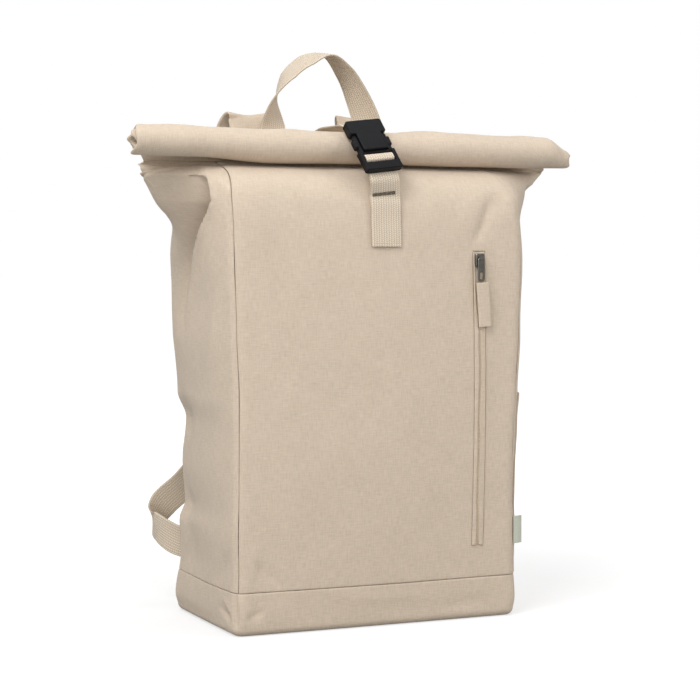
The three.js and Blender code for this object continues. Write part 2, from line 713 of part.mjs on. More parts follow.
// A plate with rounded corners, its outline in x and y and its thickness along z
function plate(halfX, y0, y1, round, z0, z1) {
  const shape = new THREE.Shape();
  shape.moveTo(-halfX + round, y0);
  shape.lineTo(halfX - round, y0);
  shape.absarc(halfX - round, y0 + round, round, -Math.PI / 2, 0, false);
  shape.absarc(halfX - round, y1 - round, round, 0, Math.PI / 2, false);
  shape.absarc(-halfX + round, y1 - round, round, Math.PI / 2, Math.PI, false);
  shape.absarc(-halfX + round, y0 + round, round, Math.PI, 1.5 * Math.PI, false);
  const bevel = Math.min(0.8, round / 2, (z1 - z0) / 3);
  const geometry = new THREE.ExtrudeGeometry(shape, {
    depth: z1 - z0 - 2 * bevel,
    bevelEnabled: true,
    bevelThickness: bevel,
    bevelSize: bevel,
    bevelOffset: -bevel,
    bevelSegments: 1,
    curveSegments: 2,
  });
  geometry.translate(0, 0, z0 + bevel);
  return solidOf(geometry);
}

function solidOf(geometry) {
  const bare = geometry.clone();
  bare.deleteAttribute('normal');
  bare.deleteAttribute('uv');
  const merged = mergeVertices(bare, 1e-5);
  return new wasm.Manifold(new wasm.Mesh({
    numProp: 3,
    vertProperties: new Float32Array(merged.attributes.position.array),
    triVerts: new Uint32Array(merged.index.array),
  }));
}

function solidMesh(name, look, solid) {
  const result = solid.getMesh();
  const geometry = new THREE.BufferGeometry();
  geometry.setAttribute('position', new THREE.Float32BufferAttribute(
    result.vertProperties, 3));
  geometry.setIndex([...result.triVerts]);
  geometry.computeVertexNormals();
  const mesh = new THREE.Mesh(geometry, new THREE.MeshStandardMaterial(look));
  mesh.name = name;
  return mesh;
}

// The buckle's own frame: x across, y up along the strap, z out of its face.
// It lies on the front of the roll, tipped back by buckleLean and a little askew.
const buckleX = 1;
const buckleTop = 29.5;
const buckleFoot = buckleTop - buckleLength;
const buckleLean = Math.atan2(36, 46);
const buckleSpin = THREE.MathUtils.degToRad(8.5);
const buckleOff = rollReach + layerHalf + 0.9 + buckleThick / 2;
const buckleForward = 9.1;      // it slides forwards and down off the roll's crest
const buckleDrop = 14.8;
const buckleFrame = new THREE.Matrix4()
  .makeTranslation(buckleX, rollY - Math.cos(buckleLean) * buckleOff - buckleForward,
    rollZ + Math.sin(buckleLean) * buckleOff - buckleDrop)
  .multiply(new THREE.Matrix4().makeRotationX(Math.PI / 2 - buckleLean))
  .multiply(new THREE.Matrix4().makeRotationZ(buckleSpin));
const inBuckle = (y, z) => ({
  at: vec(0, y, z).applyMatrix4(buckleFrame),
  across: vec(1, 0, 0).transformDirection(buckleFrame),
});

function placedInBuckle(name, look, solid) {
  const mesh = solidMesh(name, look, solid);
  mesh.applyMatrix4(buckleFrame);
  return mesh;
}

const buckleHalf = buckleThick / 2;
const barThick = 2.8;
const webRoom = webThick + 0.7;     // slot for one layer of webbing
const femaleFoot = buckleTop - femaleLength;
const femaleTopBar = { low: buckleTop - 4.8, high: buckleTop - 1.6 };
const bodyHalf = 13.2;              // the female's plate between the prongs
const prongRoom = 15;               // length of the prongs' windows

function buckleFemale() {
  const head = plate(buckleWidth / 2, femaleFoot + prongRoom + 5, buckleTop, 2.4,
    -buckleHalf, buckleHalf);
  const plateBody = plate(bodyHalf, femaleFoot, buckleTop - 4, 1.6, -buckleHalf, buckleHalf);
  const webSpace = block(-webWidth / 2 - 1, webWidth / 2 + 1, buckleTop - 10.4,
    buckleTop + 2, -buckleHalf - 1, buckleHalf - 2.8);
  const bar = block(-webWidth / 2 - 1.5, webWidth / 2 + 1.5, femaleTopBar.low, femaleTopBar.high,
    -buckleHalf + 0.8, -buckleHalf + 0.8 + barThick);
  const tongueRoom = block(-5 - buckleFit, 5 + buckleFit, femaleFoot - 1, 14,
    -1.6 - buckleFit, 1.6 + buckleFit);
  const tipRoom = (side) => block(Math.min(side * 10.5, side * 16.6),
    Math.max(side * 10.5, side * 16.6), 10, 19.5, -2.4 - buckleFit, 2.4 + buckleFit);
  return placedInBuckle('buckle_female', plastic, head.add(plateBody).subtract(webSpace)
    .add(bar).subtract(tongueRoom).subtract(tipRoom(-1)).subtract(tipRoom(1)));
}

const maleHead = femaleFoot - buckleFit;
const innerBar = { low: maleHead - 9.2, high: maleHead - 6.2 };
const lastBar = { low: buckleFoot, high: innerBar.low - webRoom - 1.4 };

function buckleMale() {
  const railIn = webWidth / 2 + 0.5;
  const rail = (side) => block(Math.min(side * railIn, side * buckleWidth / 2),
    Math.max(side * railIn, side * buckleWidth / 2), buckleFoot + 1, maleHead, -3, 3);
  const cross = block(-buckleWidth / 2, buckleWidth / 2, maleHead - 2.2, maleHead, -2, 2);
  const middle = block(-buckleWidth / 2, buckleWidth / 2, innerBar.low, innerBar.high, -2.2, 0.9);
  const last = plate(buckleWidth / 2, lastBar.low, lastBar.high, 2.2, -3.4, 3.4);
  const arm = (side) => block(Math.min(side * (bodyHalf + buckleFit), side * 17.2),
    Math.max(side * (bodyHalf + buckleFit), side * 17.2), maleHead - 1, 12, -2.4, 2.4);
  const pad = (side) => plate(2.6, -2, 8.5, 1.6, -3.2, 3.2).translate(side * 16.9, 0, 0);
  const tip = (side) => block(Math.min(side * (bodyHalf + buckleFit), side * 16.1),
    Math.max(side * (bodyHalf + buckleFit), side * 16.1), 10, 17.5, -2.2, 2.2);
  const tongue = block(-5, 5, maleHead - 1, 13, -1.6, 1.6);
  let frame = cross.add(middle).add(last).add(tongue);
  for (const side of [-1, 1]) {
    frame = frame.add(rail(side)).add(arm(side)).add(pad(side)).add(tip(side));
  }
  return placedInBuckle('buckle_male', plastic, frame);
}

// A strap through a list of stations, made smooth between them
function smoothStations(list, steps) {
  const curve = new THREE.CatmullRomCurve3(list.map((s) => s.at), false, 'centripetal');
  const result = [];
  for (let k = 0; k <= steps; k += 1) {
    const spot = (k / steps) * (list.length - 1);
    const i = Math.min(list.length - 2, Math.floor(spot));
    result.push({
      at: curve.getPoint(k / steps),
      across: list[i].across.clone().lerp(list[i + 1].across, spot - i),
    });
  }
  return result;
}

const level = (p) => ({ at: p, across: across.clone() });

// Strap over the roll: sewn on the back, looped round the female's bar
function closureStrap() {
  const foot = (below) => level(onPanel(1, -4, neckHeight - below, sewn + webThick / 2));
  const under = -buckleHalf + 0.8 - 0.5 - webThick / 2;
  const over = -buckleHalf + 0.8 + barThick + 0.5 + webThick / 2;
  const list = [
    foot(60),
    foot(50),
    foot(40),
    level(vec(-3, 70, neckHeight - 4)),
    level(vec(-1, 52, rollTop - 4)),
    level(vec(0, 26, rollTop + 5.5)),
    level(vec(0.5, -10, rollTop + 6.5)),
    inBuckle(buckleTop + 6.5, under - 5),
    inBuckle(buckleTop + 1.5, under - 1.6),
    inBuckle(femaleTopBar.low + 1.5, under - 0.1),
    inBuckle(femaleTopBar.low - 1.6, under + 0.9),
    inBuckle(femaleTopBar.low - 2.4, (under + over) / 2),
    inBuckle(femaleTopBar.low - 1.6, over - 0.9),
    inBuckle(femaleTopBar.low + 1.5, over + 0.1),
    inBuckle(buckleTop - 0.5, over + 0.1),
    inBuckle(buckleTop + 2.4, over - 1.4),
  ];
  return strap('closure_strap', webbing, smoothStations(list, 56), webWidth, webThick);
}

// Webbing sewn on the front: up to the male's bars, round the middle one and down again
const patchX = 8.5;
const patchFoot = 76;           // foot of the patch below the shoulder
const patchEnd = 41;            // end of the folded-back layer below the shoulder

function frontStrap() {
  const one = sewn + webThick / 2;
  const two = one + webThick + seamGap;
  const onFront = (below, lift) => level(onPanel(-1, patchX, shoulderHeight - below, lift));
  const behind = -3.4 - 0.4 - webThick / 2;
  const back = behind - webThick - 0.5;
  const gapLow = (lastBar.high + innerBar.low) / 2;
  const gapHigh = (innerBar.high + maleHead - 2.2) / 2;
  const list = [
    onFront(patchFoot, one),
    onFront(patchFoot - 12, one),
    onFront(patchFoot - 24, one),
    onFront(patchEnd + 5, one + 0.6),
    onFront(patchEnd - 4, two),
    onFront(patchEnd - 11, two + 0.6),
    inBuckle(buckleFoot - 6, behind - 1.4),
    inBuckle(buckleFoot + 1, behind),
    inBuckle(lastBar.high - 1.8, behind - 0.1),
    inBuckle(gapLow - 0.5, behind + 0.8),
    inBuckle(gapLow, -1.2),
    inBuckle(gapLow + 0.7, 1.7),
    inBuckle(innerBar.low + 0.9, 2.35),
    inBuckle(innerBar.high - 0.9, 2.35),
    inBuckle(gapHigh - 0.5, 1.6),
    inBuckle(gapHigh, -0.8),
    inBuckle(gapHigh - 0.3, -3.4),
    inBuckle(innerBar.high - 1.2, back + 0.6),
    inBuckle(innerBar.low - 1, back),
    inBuckle(lastBar.low + 1, back),
    inBuckle(buckleFoot - 5, back - 1.2),
    onFront(patchEnd - 13, one + 0.5),
    onFront(patchEnd - 5, one),
    onFront(patchEnd, one),
  ];
  return strap('front_strap', webbing, smoothStations(list, 72), webWidth, webThick);
}

// The zip follows the panel, which leans a little to the right where it is full
const zipX = (z) => zipCentre - sideShift * (1 - sectionAt(z).fullness);
const onZip = (beside, z, lift) => onPanel(-1, zipX(z) + beside, z, lift);

// A thin layer in the zip's slot between two heights, from lift low to lift high
function zipLayer(name, look, halfWide, z0, z1, low, high) {
  const rows = 10;
  const outer = [];
  const inner = [];
  for (let j = 0; j <= rows; j += 1) {
    const z = mix(z0, z1, j / rows);
    outer.push([onZip(-halfWide, z, high), onZip(halfWide, z, high)]);
    inner.push([onZip(-halfWide, z, low), onZip(halfWide, z, low)]);
  }
  return wallOf(name, look, outer, inner);
}

const coilWidth = 4.4;
const coilHeight = 1.3;
const tapeFace = -0.5;          // outer face of the tape, sunk in the slot
const sliderHigh = zipTop - 2;
const sliderLow = zipTop - 15;

function zipTape() {
  return zipLayer('zip_tape', canvas, zipSlot / 2 - seamGap, zipBottom + seamGap,
    zipTop - seamGap, tapeFace - zipTapeThick, tapeFace);
}

function zipCoil() {
  return zipLayer('zip_coil', webbing, coilWidth / 2, zipBottom + 2, sliderLow - seamGap,
    tapeFace + seamGap, tapeFace + seamGap + coilHeight);
}

// Metal slider with its hanging eye, lying on the tape above the coil's end
function zipSlider() {
  const lift = tapeFace + seamGap;
  const long = sliderHigh - sliderLow;
  const body = plate(4.6, -long / 2, long / 2, 1.8, 0, 3.2);
  const bridge = block(-1.4, 1.4, -3.6, 3.6, 3, 4.6);
  const eye = plate(3.6, -long / 2 - 14, 2.4, 2.6, 4.2, 5.4)
    .subtract(plate(1.7, -long / 2 - 11.5, -long / 2 - 5, 1.4, 3.5, 6));
  const mesh = solidMesh('zip_slider', metal, body.add(bridge).add(eye));
  const at = onZip(0, (sliderHigh + sliderLow) / 2, lift + 0.35);
  mesh.rotation.set(Math.PI / 2, 0, 0);
  mesh.position.copy(at);
  return mesh;
}

// Folded canvas tab, sewn through the eye and hanging against the panel
function pullerTab() {
  const top = sliderLow - 14 - seamGap - 0.6;
  const list = [];
  for (let k = 0; k <= 4; k += 1) {
    const z = top - (pullerLength * k) / 4;
    list.push(level(onZip(1 + 0.8 * k, z, mix(4.6, 3.1, k / 4))));
  }
  return strap('puller_tab', canvas, list, pullerWidth, 2.4);
}

// Slip pocket on the right side, open at the top and standing off in its middle
function sidePocket() {
  const reach = 0.9;
  const columns = 10;
  const rows = 8;
  const low = bandHeight + 1;
  const outer = [];
  const inner = [];
  const normal = (t, z) => {
    const alongSide = sidePoint('right', t + 0.01, z).sub(sidePoint('right', t - 0.01, z));
    const above = sidePoint('right', t, z + 1).sub(sidePoint('right', t, z - 1));
    return alongSide.cross(above).normalize();
  };
  for (let j = 0; j <= rows; j += 1) {
    const outerRow = [];
    const innerRow = [];
    for (let i = 0; i <= columns; i += 1) {
      const t = mix(-reach, reach, i / columns);
      const z = mix(low, pocketHeight, j / rows);
      const lift = seamGap + 0.5 + pocketMouth * (1 - (t / reach) ** 2) * (j / rows) ** 2;
      const n = normal(t, z);
      innerRow.push(sidePoint('right', t, z).addScaledVector(n, lift));
      outerRow.push(sidePoint('right', t, z).addScaledVector(n, lift + clothWall));
    }
    outer.push(outerRow);
    inner.push(innerRow);
  }
  return wallOf('side_pocket', canvas, outer, inner);
}

// Blank label, caught in the right front seam
function sideLabel() {
  const z = labelBase + labelHeight / 2;
  const seam = sidePoint('right', -1, z);
  const start = seam.clone().add(vec(0.9, -0.9, 0));
  const end = start.clone().add(vec(labelReach, 3.4, 0));
  const middle = start.clone().lerp(end, 0.5).add(vec(0.2, -0.6, 0));
  const list = [start, middle, end].map((at) => ({ at, across: upward.clone() }));
  return strap('side_label', tagCloth, list, labelHeight, labelThick);
}

const group = new THREE.Group();
group.add(...bodyPanels(), baseBand(), rollCollar());
group.add(closureStrap(), buckleFemale(), buckleMale(), frontStrap());
group.add(carryHandle());
for (const [hand, side] of [[-1, 'left'], [1, 'right']]) {
  group.add(shoulderStrap(hand, `shoulder_strap_${side}`));
  group.add(strapSlider(hand, `strap_slider_${side}`));
  group.add(lowerWebbing(hand, `lower_webbing_${side}`));
}
group.add(zipTape(), zipCoil(), zipSlider(), pullerTab());
group.add(sidePocket(), sideLabel());

export default group;
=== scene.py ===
# %% [markdown]
# This scene dresses a rolltop backpack: a tall canvas bag whose mouth is rolled
# down and held by a strap with a plastic buckle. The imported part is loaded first
# as a fixed frame. Every piece below is made on top of it, in the same place.

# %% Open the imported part
import json
import math
import bmesh
import bpy
import numpy as np
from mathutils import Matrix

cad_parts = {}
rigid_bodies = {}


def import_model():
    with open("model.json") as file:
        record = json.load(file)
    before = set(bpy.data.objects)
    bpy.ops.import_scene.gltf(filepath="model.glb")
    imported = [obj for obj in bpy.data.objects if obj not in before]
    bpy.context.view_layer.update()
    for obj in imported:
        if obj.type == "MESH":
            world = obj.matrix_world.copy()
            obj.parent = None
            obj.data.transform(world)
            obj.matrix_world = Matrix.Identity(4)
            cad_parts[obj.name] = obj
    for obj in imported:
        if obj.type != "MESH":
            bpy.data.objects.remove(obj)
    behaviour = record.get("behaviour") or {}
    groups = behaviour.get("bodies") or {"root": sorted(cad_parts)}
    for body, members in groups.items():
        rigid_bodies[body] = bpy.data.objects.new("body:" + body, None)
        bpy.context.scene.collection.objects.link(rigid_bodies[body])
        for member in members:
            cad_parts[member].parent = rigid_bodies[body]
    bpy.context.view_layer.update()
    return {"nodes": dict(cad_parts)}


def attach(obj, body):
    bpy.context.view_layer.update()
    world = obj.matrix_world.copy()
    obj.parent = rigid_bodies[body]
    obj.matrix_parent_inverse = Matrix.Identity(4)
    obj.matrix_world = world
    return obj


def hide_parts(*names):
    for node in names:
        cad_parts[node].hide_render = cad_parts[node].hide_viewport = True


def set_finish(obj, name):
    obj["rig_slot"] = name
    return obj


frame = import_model()

# %% [markdown]
# All sizes are in millimetres, as a bag maker would write them, and become metres
# when a mesh is made. They are the same driving sizes as the part's own.

# %% Sizes of the bag
MM = 0.001
BODY_WIDTH = 280
BODY_DEPTH = 165
BAND_HEIGHT = 40
SHOULDER = 433
FOLD_START = 300
CORNER = 10
BASE_CORNER = 7
WALL = 1.6
SEAM_GAP = 0.3
SWELL = {-1: 8, 1: 4}
SIDE_SWELL = {-1: 8, 1: 13}
SIDE_SHIFT = 4
ROLL_HEIGHT = 31.5
ROLL_DEPTH = 39
ROLL_LEAN = 44
ROLL_REST = 2
ROLL_TURNS = 2.2
ROLL_PITCH = 4.8
ROLL_WALL = 1.2
ROLL_SLOT = 0.5
NECK_DROP = 7.6
NECK_HALF = 2.6
COLLAR_DROP = 6
WEB_WIDTH = 30
WEB_THICK = 1.8
STRAP_WIDTH = 45
STRAP_THICK = 3

HALF_WIDTH = BODY_WIDTH / 2
HALF_DEPTH = BODY_DEPTH / 2
LAYER_HALF = ROLL_WALL + ROLL_SLOT / 2
ROLL_RISE = (ROLL_HEIGHT + ROLL_PITCH) / 2 - LAYER_HALF
ROLL_REACH = (ROLL_DEPTH + ROLL_PITCH / 2) / 2 - LAYER_HALF
ROLL_Y = -ROLL_LEAN
ROLL_Z = SHOULDER + ROLL_REST + ROLL_RISE - 0.75 * ROLL_PITCH + LAYER_HALF
ROLL_TOP = ROLL_Z + ROLL_RISE - 0.25 * ROLL_PITCH + LAYER_HALF
NECK = ROLL_Z - NECK_DROP
COLLAR_SEAM = NECK - COLLAR_DROP
NECK_Y = ROLL_Y + ROLL_REACH
FRONT_SEAM = HALF_WIDTH - CORNER * (1 - math.sqrt(0.5))
SEWN = SEAM_GAP + 0.5
TUCK_DROP = 8.5
WING_TUCK = {-1: 0.24, 1: 0}
NECK_TUCK = {-1: 6, 1: 0}
print(f"neck seam at {COLLAR_SEAM:.1f} mm, roll from {SHOULDER + ROLL_REST} to {ROLL_TOP:.1f} mm")

# %% [markdown]
# A photograph has a camera, so the scene gets the same one: it stands to the left
# of the bag, a little above its middle, and looks slightly down. It is set first,
# so that every later render can be laid beside the photograph.

# %% The camera
FOCAL_MM = 96.5
FILM_MM = 36
LOOK_DOWN = math.radians(2.82)
LOOK_ASIDE = math.radians(23)
CAMERA_PLACE = (-0.7062, -1.6855, 0.3471)
camera_data = bpy.data.cameras.new("camera")
camera_data.lens = FOCAL_MM
camera_data.sensor_width = FILM_MM
camera_data.clip_start = 0.05
camera = bpy.data.objects.new("camera", camera_data)
camera.location = CAMERA_PLACE
camera.rotation_euler = (math.pi / 2 - LOOK_DOWN, 0, -LOOK_ASIDE)
bpy.context.scene.collection.objects.link(camera)
bpy.context.scene.camera = camera
print("camera with a lens of", FOCAL_MM, "mm")

# %% [markdown]
# Cloth needs a grid that knows how far it is along the warp and the weft, because
# the weave must follow it round every bend. So each grid gets a UV map in metres,
# measured along its rows and columns, and the weave reads that map. Any piece is
# made by the same helper, from points, faces and that map.

# %% Grids of points become meshes
def lengths(points, axis):
    """Distance run along an axis of a grid: the running sum of the steps' lengths."""
    steps = np.linalg.norm(np.diff(points, axis=axis), axis=-1)
    start = np.zeros_like(np.take(steps, [0], axis=axis))
    return np.concatenate([start, np.cumsum(steps, axis=axis)], axis=axis)


def cloth_map(points):
    """Two numbers a point, in mm: the mean run along its row and along its column."""
    along = lengths(points, 1)
    along -= along.mean(axis=1, keepdims=True)
    up = lengths(points, 0).mean(axis=1)[:, None] * np.ones(points.shape[1])
    return np.stack([along.mean(axis=0)[None, :] + 0 * up, up], axis=-1)


def numbered(rows, columns, closed=False):
    """The numbers of a grid's points, row by row; a closed grid's first column comes again."""
    number = np.arange(rows * columns).reshape(rows, columns)
    return np.concatenate([number, number[:, :1]], axis=1) if closed else number


def quads_of(number):
    """Four corner numbers for each cell of a numbered grid."""
    return np.stack([number[:-1, :-1], number[:-1, 1:], number[1:, 1:], number[1:, :-1]], -1)


def rim(edge, count):
    """Quads between an edge of the outer wall and the same edge of the inner, count on."""
    return np.stack([edge[:-1], edge[1:], edge[1:] + count, edge[:-1] + count], -1)


def mesh_object(name, points, faces, uv=None, smooth=True):
    """A mesh object at the origin from points and a cloth map in mm, with faces of any size.
    Smooth is one value for all the faces or one for each."""
    mesh = bpy.data.meshes.new(name)
    mesh.from_pydata((points * MM).tolist(), [], faces)
    if uv is not None:
        corner = np.zeros(len(mesh.loops), np.int32)
        mesh.loops.foreach_get("vertex_index", corner)
        layer = mesh.uv_layers.new(name="cloth")
        layer.data.foreach_set("uv", (uv[corner] * MM).astype(np.float32).ravel())
    mesh.polygons.foreach_set("use_smooth", np.ones(len(faces), bool) & smooth)
    mesh.update()
    made = bpy.data.objects.new(name, mesh)
    bpy.context.scene.collection.objects.link(made)
    return made


print("mesh helpers ready")

# %% [markdown]
# A single sheet of faces would have no thickness at a pocket's mouth or a slot. So a
# sheet of cloth is two grids, one moved in by the wall along its normals, with a rim
# of faces wherever the cloth ends, round its outside and round a slot in it.

# %% A sheet of cloth with a wall
CELL_EDGES = (((0, 1), (0, 0), (0, 1)), ((1, 2), (0, 1), (1, 1)),
              ((2, 1), (1, 1), (1, 0)), ((1, 0), (1, 0), (0, 0)))


def normals_of(points):
    """Unit normals of a grid: the cross product of its row and column slopes."""
    across = np.gradient(points, axis=1)
    up = np.gradient(points, axis=0)
    normal = np.cross(across, up)
    return normal / np.maximum(np.linalg.norm(normal, axis=-1, keepdims=True), 1e-9)


def cloth(name, outer, wall, keep=None, uv=None):
    """A sheet with a wall: the grid outer, the same grid moved in by the wall, and a rim
    where a kept cell has no kept neighbour. Each of a cell's four edges is given by where
    its neighbour is in the padded grid, and by its two corners."""
    rows, columns = outer.shape[:2]
    inner = outer - normals_of(outer) * wall
    count = rows * columns
    if keep is None:
        keep = np.ones((rows - 1, columns - 1), bool)
    number = numbered(rows, columns)
    face = quads_of(number)[keep]
    padded = np.pad(keep, 1)
    rims = []
    for shift, first, second in CELL_EDGES:
        beside = padded[shift[0]:shift[0] + rows - 1, shift[1]:shift[1] + columns - 1]
        edge = keep & ~beside
        j, i = np.nonzero(edge)
        a = number[j + first[0], i + first[1]]
        b = number[j + second[0], i + second[1]]
        rims.append(np.stack([b, a, a + count, b + count], -1))
    faces = np.concatenate([face, face[:, ::-1] + count] + rims)
    uv = cloth_map(outer) if uv is None else uv
    points = np.concatenate([outer.reshape(-1, 3), inner.reshape(-1, 3)])
    return mesh_object(name, points, faces.tolist(), np.concatenate([uv.reshape(-1, 2)] * 2))


print("cloth helper ready")

# %% [markdown]
# The body of the bag is one smooth form: a rounded box low down, whose front and
# back come together at the neck while the middle of each side flares out into a
# wing. Formulas give every point of it, so that each panel meets its neighbour. The
# four upright corners are not straight in the photograph, so a table moves them.

# %% The section of the bag at each height
CORNERS = {
    "height": [0, 0.04, 0.13, 0.21, 0.25, 0.34, 0.44, 0.50, 0.64, 0.80, 0.92, 1.0],
    "front_left": [0, 0, 0, 1, 1, 1, 1, 1, 3, 4, 4, 0],
    "back_left": [3, 7, 2, 5, -1, 2, -2, 7, 12, 12, 8, 0],
    "back_right": [6, 8, 5, 5, 4, 5, 6, 7, 8, 9, 8, 0],
    "front_right": [9, 11, 8, 7, 6, 6, 7, 9, 12, 15, 12, 0],
}


def smooth_look_up(table, key, value, places):
    """Values between a table's rows, eased so that they have no corner at a row."""
    x = np.array(table[key], float)
    y = np.array(table[value], float)
    i = np.clip(np.searchsorted(x, places) - 1, 0, len(x) - 2)
    share = np.clip((places - x[i]) / (x[i + 1] - x[i]), 0, 1)
    return y[i] + (y[i + 1] - y[i]) * share * share * (3 - 2 * share)


def corner_reach(name, z):
    """How far an upright corner stands out from the plain box at the height z."""
    return smooth_look_up(CORNERS, "height", name, z / SHOULDER)


def faces_at(z):
    """Where the front and the back stand at the height z: straight up, then each folds in
    to the neck along a steep curve of its share of the way."""
    front_share = np.clip((z - FOLD_START) / (SHOULDER - FOLD_START), 0, 1)
    back_share = np.clip((z - FOLD_START) / (NECK - FOLD_START), 0, 1)
    front_travel = NECK_Y - NECK_HALF + HALF_DEPTH
    back_travel = HALF_DEPTH - NECK_Y - NECK_HALF
    front = -HALF_DEPTH + front_travel * (1 - np.sqrt(1 - front_share ** 8))
    back = HALF_DEPTH - back_travel * (1 - np.sqrt(1 - back_share ** 4))
    return front, back


def half_depth_at(z):
    """Half the distance from front to back at the height z."""
    front, back = faces_at(z)
    return (back - front) / 2


def corner_at(z):
    """Radius of the upright corners: the plain one, or less where the bag is thin."""
    return np.minimum(CORNER, 0.45 * half_depth_at(z))


def fullness_at(z):
    """How full the bag is at the height z: a half sine from its foot to its neck, made
    a little blunter by a power."""
    return np.sin(np.pi * np.clip(z / NECK, 0, 1)) ** 0.8


def wing_at(side, z):
    """How far the middle of a side travels out: what is left of its half depth, tucked in."""
    half = half_depth_at(z)
    under = (z - SHOULDER + TUCK_DROP) / (COLLAR_SEAM - SHOULDER + TUCK_DROP)
    tuck = np.where(side < 0, WING_TUCK[-1], WING_TUCK[1]) * np.clip(under, 0, 1)
    return (1 - tuck) * np.sqrt(np.maximum(0, HALF_DEPTH ** 2 - half ** 2))


print("the bag is", round(float(half_depth_at(400.0)) * 2, 1), "mm deep at 400 mm")

# %% [markdown]
# A point of the front or the back is given by how far across it is, from -1 to 1,
# and by its height. The face is flat in the plain box. It swells a little, because
# the bag is stuffed, and it turns in at the upright corners.

# %% The front and the back of the form
EASE_FROM = 0.86
TO_SEAM = 1 - math.sqrt(0.5)


def panel_point(sign, u, z):
    """Point of the front (-1) or back (1): a flat face, turned in at its corners, swollen."""
    front, back = faces_at(z)
    corner = corner_at(z)
    fullness = fullness_at(z)
    row = "front" if sign < 0 else "back"
    x = u * (HALF_WIDTH - corner * TO_SEAM)
    past = np.maximum(0, np.abs(x) - (HALF_WIDTH - corner))
    ease = np.clip((np.abs(u) - EASE_FROM) / (1 - EASE_FROM), 0, 1)
    hand = np.where(u < 0, corner_reach(f"{row}_left", z), corner_reach(f"{row}_right", z))
    stand = np.sign(u) * hand * ease * (2 - ease)
    turned = corner - np.sqrt(np.maximum(0, corner ** 2 - past ** 2))
    swell = SWELL[sign] * (1 - u * u) * fullness
    face = front if sign < 0 else back
    return np.stack([x + stand + SIDE_SHIFT * fullness, face - sign * turned + sign * swell,
                     z + 0 * x], -1)


middle_low = panel_point(-1, 0.0, SHOULDER / 2)
print("the front's middle stands at", [round(float(value), 1) for value in middle_low])

# %% [markdown]
# Canvas never lies quite flat. A crease is a long soft ridge or groove, and it is
# drawn as a bell curve across a line, so that a table of lines gives a panel its
# creases. Between them the cloth waves slowly, which a few crossed sine waves give.

# %% Creases and unevenness
WAVES = 8


def bump(distance, width):
    """A soft ridge: the bell curve of distance over width."""
    return np.exp(-(distance / width) ** 2)


def folds(table, across, z):
    """Sum of the table's creases. Each runs from one (across, height) to another, and is
    a bell across its line, fading towards both ends. Across and z are in mm."""
    total = np.zeros(np.broadcast(across, z).shape)
    for row in table:
        start = np.array(row["start"], float)
        run = np.array(row["end"], float) - start
        size = np.hypot(*run)
        share = ((across - start[0]) * run[0] + (z - start[1]) * run[1]) / size ** 2
        inside = np.clip(share, 0, 1)
        off = ((across - start[0]) * -run[1] + (z - start[1]) * run[0]) / size
        past = (share - inside) * size
        fade = np.sin(np.pi * np.clip(inside * 0.9 + 0.05, 0, 1)) ** 0.7
        total += row["lift"] * bump(off, row["width"]) * fade * bump(past, row["width"])
    return total


def ripple(across, z, seed, size, lift):
    """Slow unevenness of hand-sewn cloth: crossed waves, drawn from a seed."""
    random = np.random.default_rng(seed)
    total = 0
    for _ in range(WAVES):
        angle = random.uniform(0, np.pi)
        phase = random.uniform(0, 2 * np.pi)
        length = size * random.uniform(0.6, 1.7)
        wave = (across * np.cos(angle) + z * np.sin(angle)) * 2 * np.pi / length
        total = total + np.sin(wave + phase)
    return lift * total / 3


print("folds and waves ready, with", WAVES, "waves to a panel")

# %% [markdown]
# Both sides fold in under the roll. On the left a sharp ridge runs from the roll
# down the side, with a deep valley behind it, and soft dents lie lower down, where
# the cloth has buckled. The tables hold them in shares of the bag's height, with
# places across a side from -1 at the front seam to 1 at the back seam.

# %% Pleats and dents of the sides
PLEATS = {
    -1: [dict(depth=30, top=0.975, low=0.62, width=0.17,
              ridge_low=0.29, ridge_top=-0.79, ridge_from=0.66, ridge_to=0.92)],
    1: [dict(depth=12, top=0.97, low=0.68, width=0.25,
             ridge_low=0.35, ridge_top=-0.40, ridge_from=0.68, ridge_to=0.90)],
}
DENTS = {
    -1: [dict(height=0.90, across=0.22, depth=-4, radius=0.06),
         dict(height=0.43, across=0.72, depth=6, radius=0.06),
         dict(height=0.245, across=0.75, depth=5, radius=0.05),
         dict(height=0.165, across=0.40, depth=4, radius=0.06)],
    1: [],
}
TENT_SOFT = 0.15


def side_hollow(side, t, z):
    """Inward depth of pleats and dents: a pleat rises fast behind its ridge and dies away."""
    hollow = np.zeros(np.broadcast(t, z).shape)
    for pleat in PLEATS[side]:
        rise = (z / SHOULDER - pleat["low"]) / (pleat["top"] - pleat["low"])
        rise = np.clip(rise, 0, 1)
        turn = (z / SHOULDER - pleat["ridge_from"]) / (pleat["ridge_to"] - pleat["ridge_from"])
        turn = np.clip(turn, 0, 1) ** 1.3
        ridge = pleat["ridge_low"] + (pleat["ridge_top"] - pleat["ridge_low"]) * turn
        q = np.maximum(0, (t - ridge) / pleat["width"])
        hollow += pleat["depth"] * np.sin(np.pi * rise ** 1.6) ** 0.7 * q * np.exp(1 - q)
    for dent in DENTS[side]:
        up = (z / SHOULDER - dent["height"]) / dent["radius"]
        over = (t - dent["across"]) * HALF_DEPTH / (dent["radius"] * SHOULDER)
        hollow += dent["depth"] * np.exp(-up * up - over * over)
    return hollow * (1 - t ** 4)


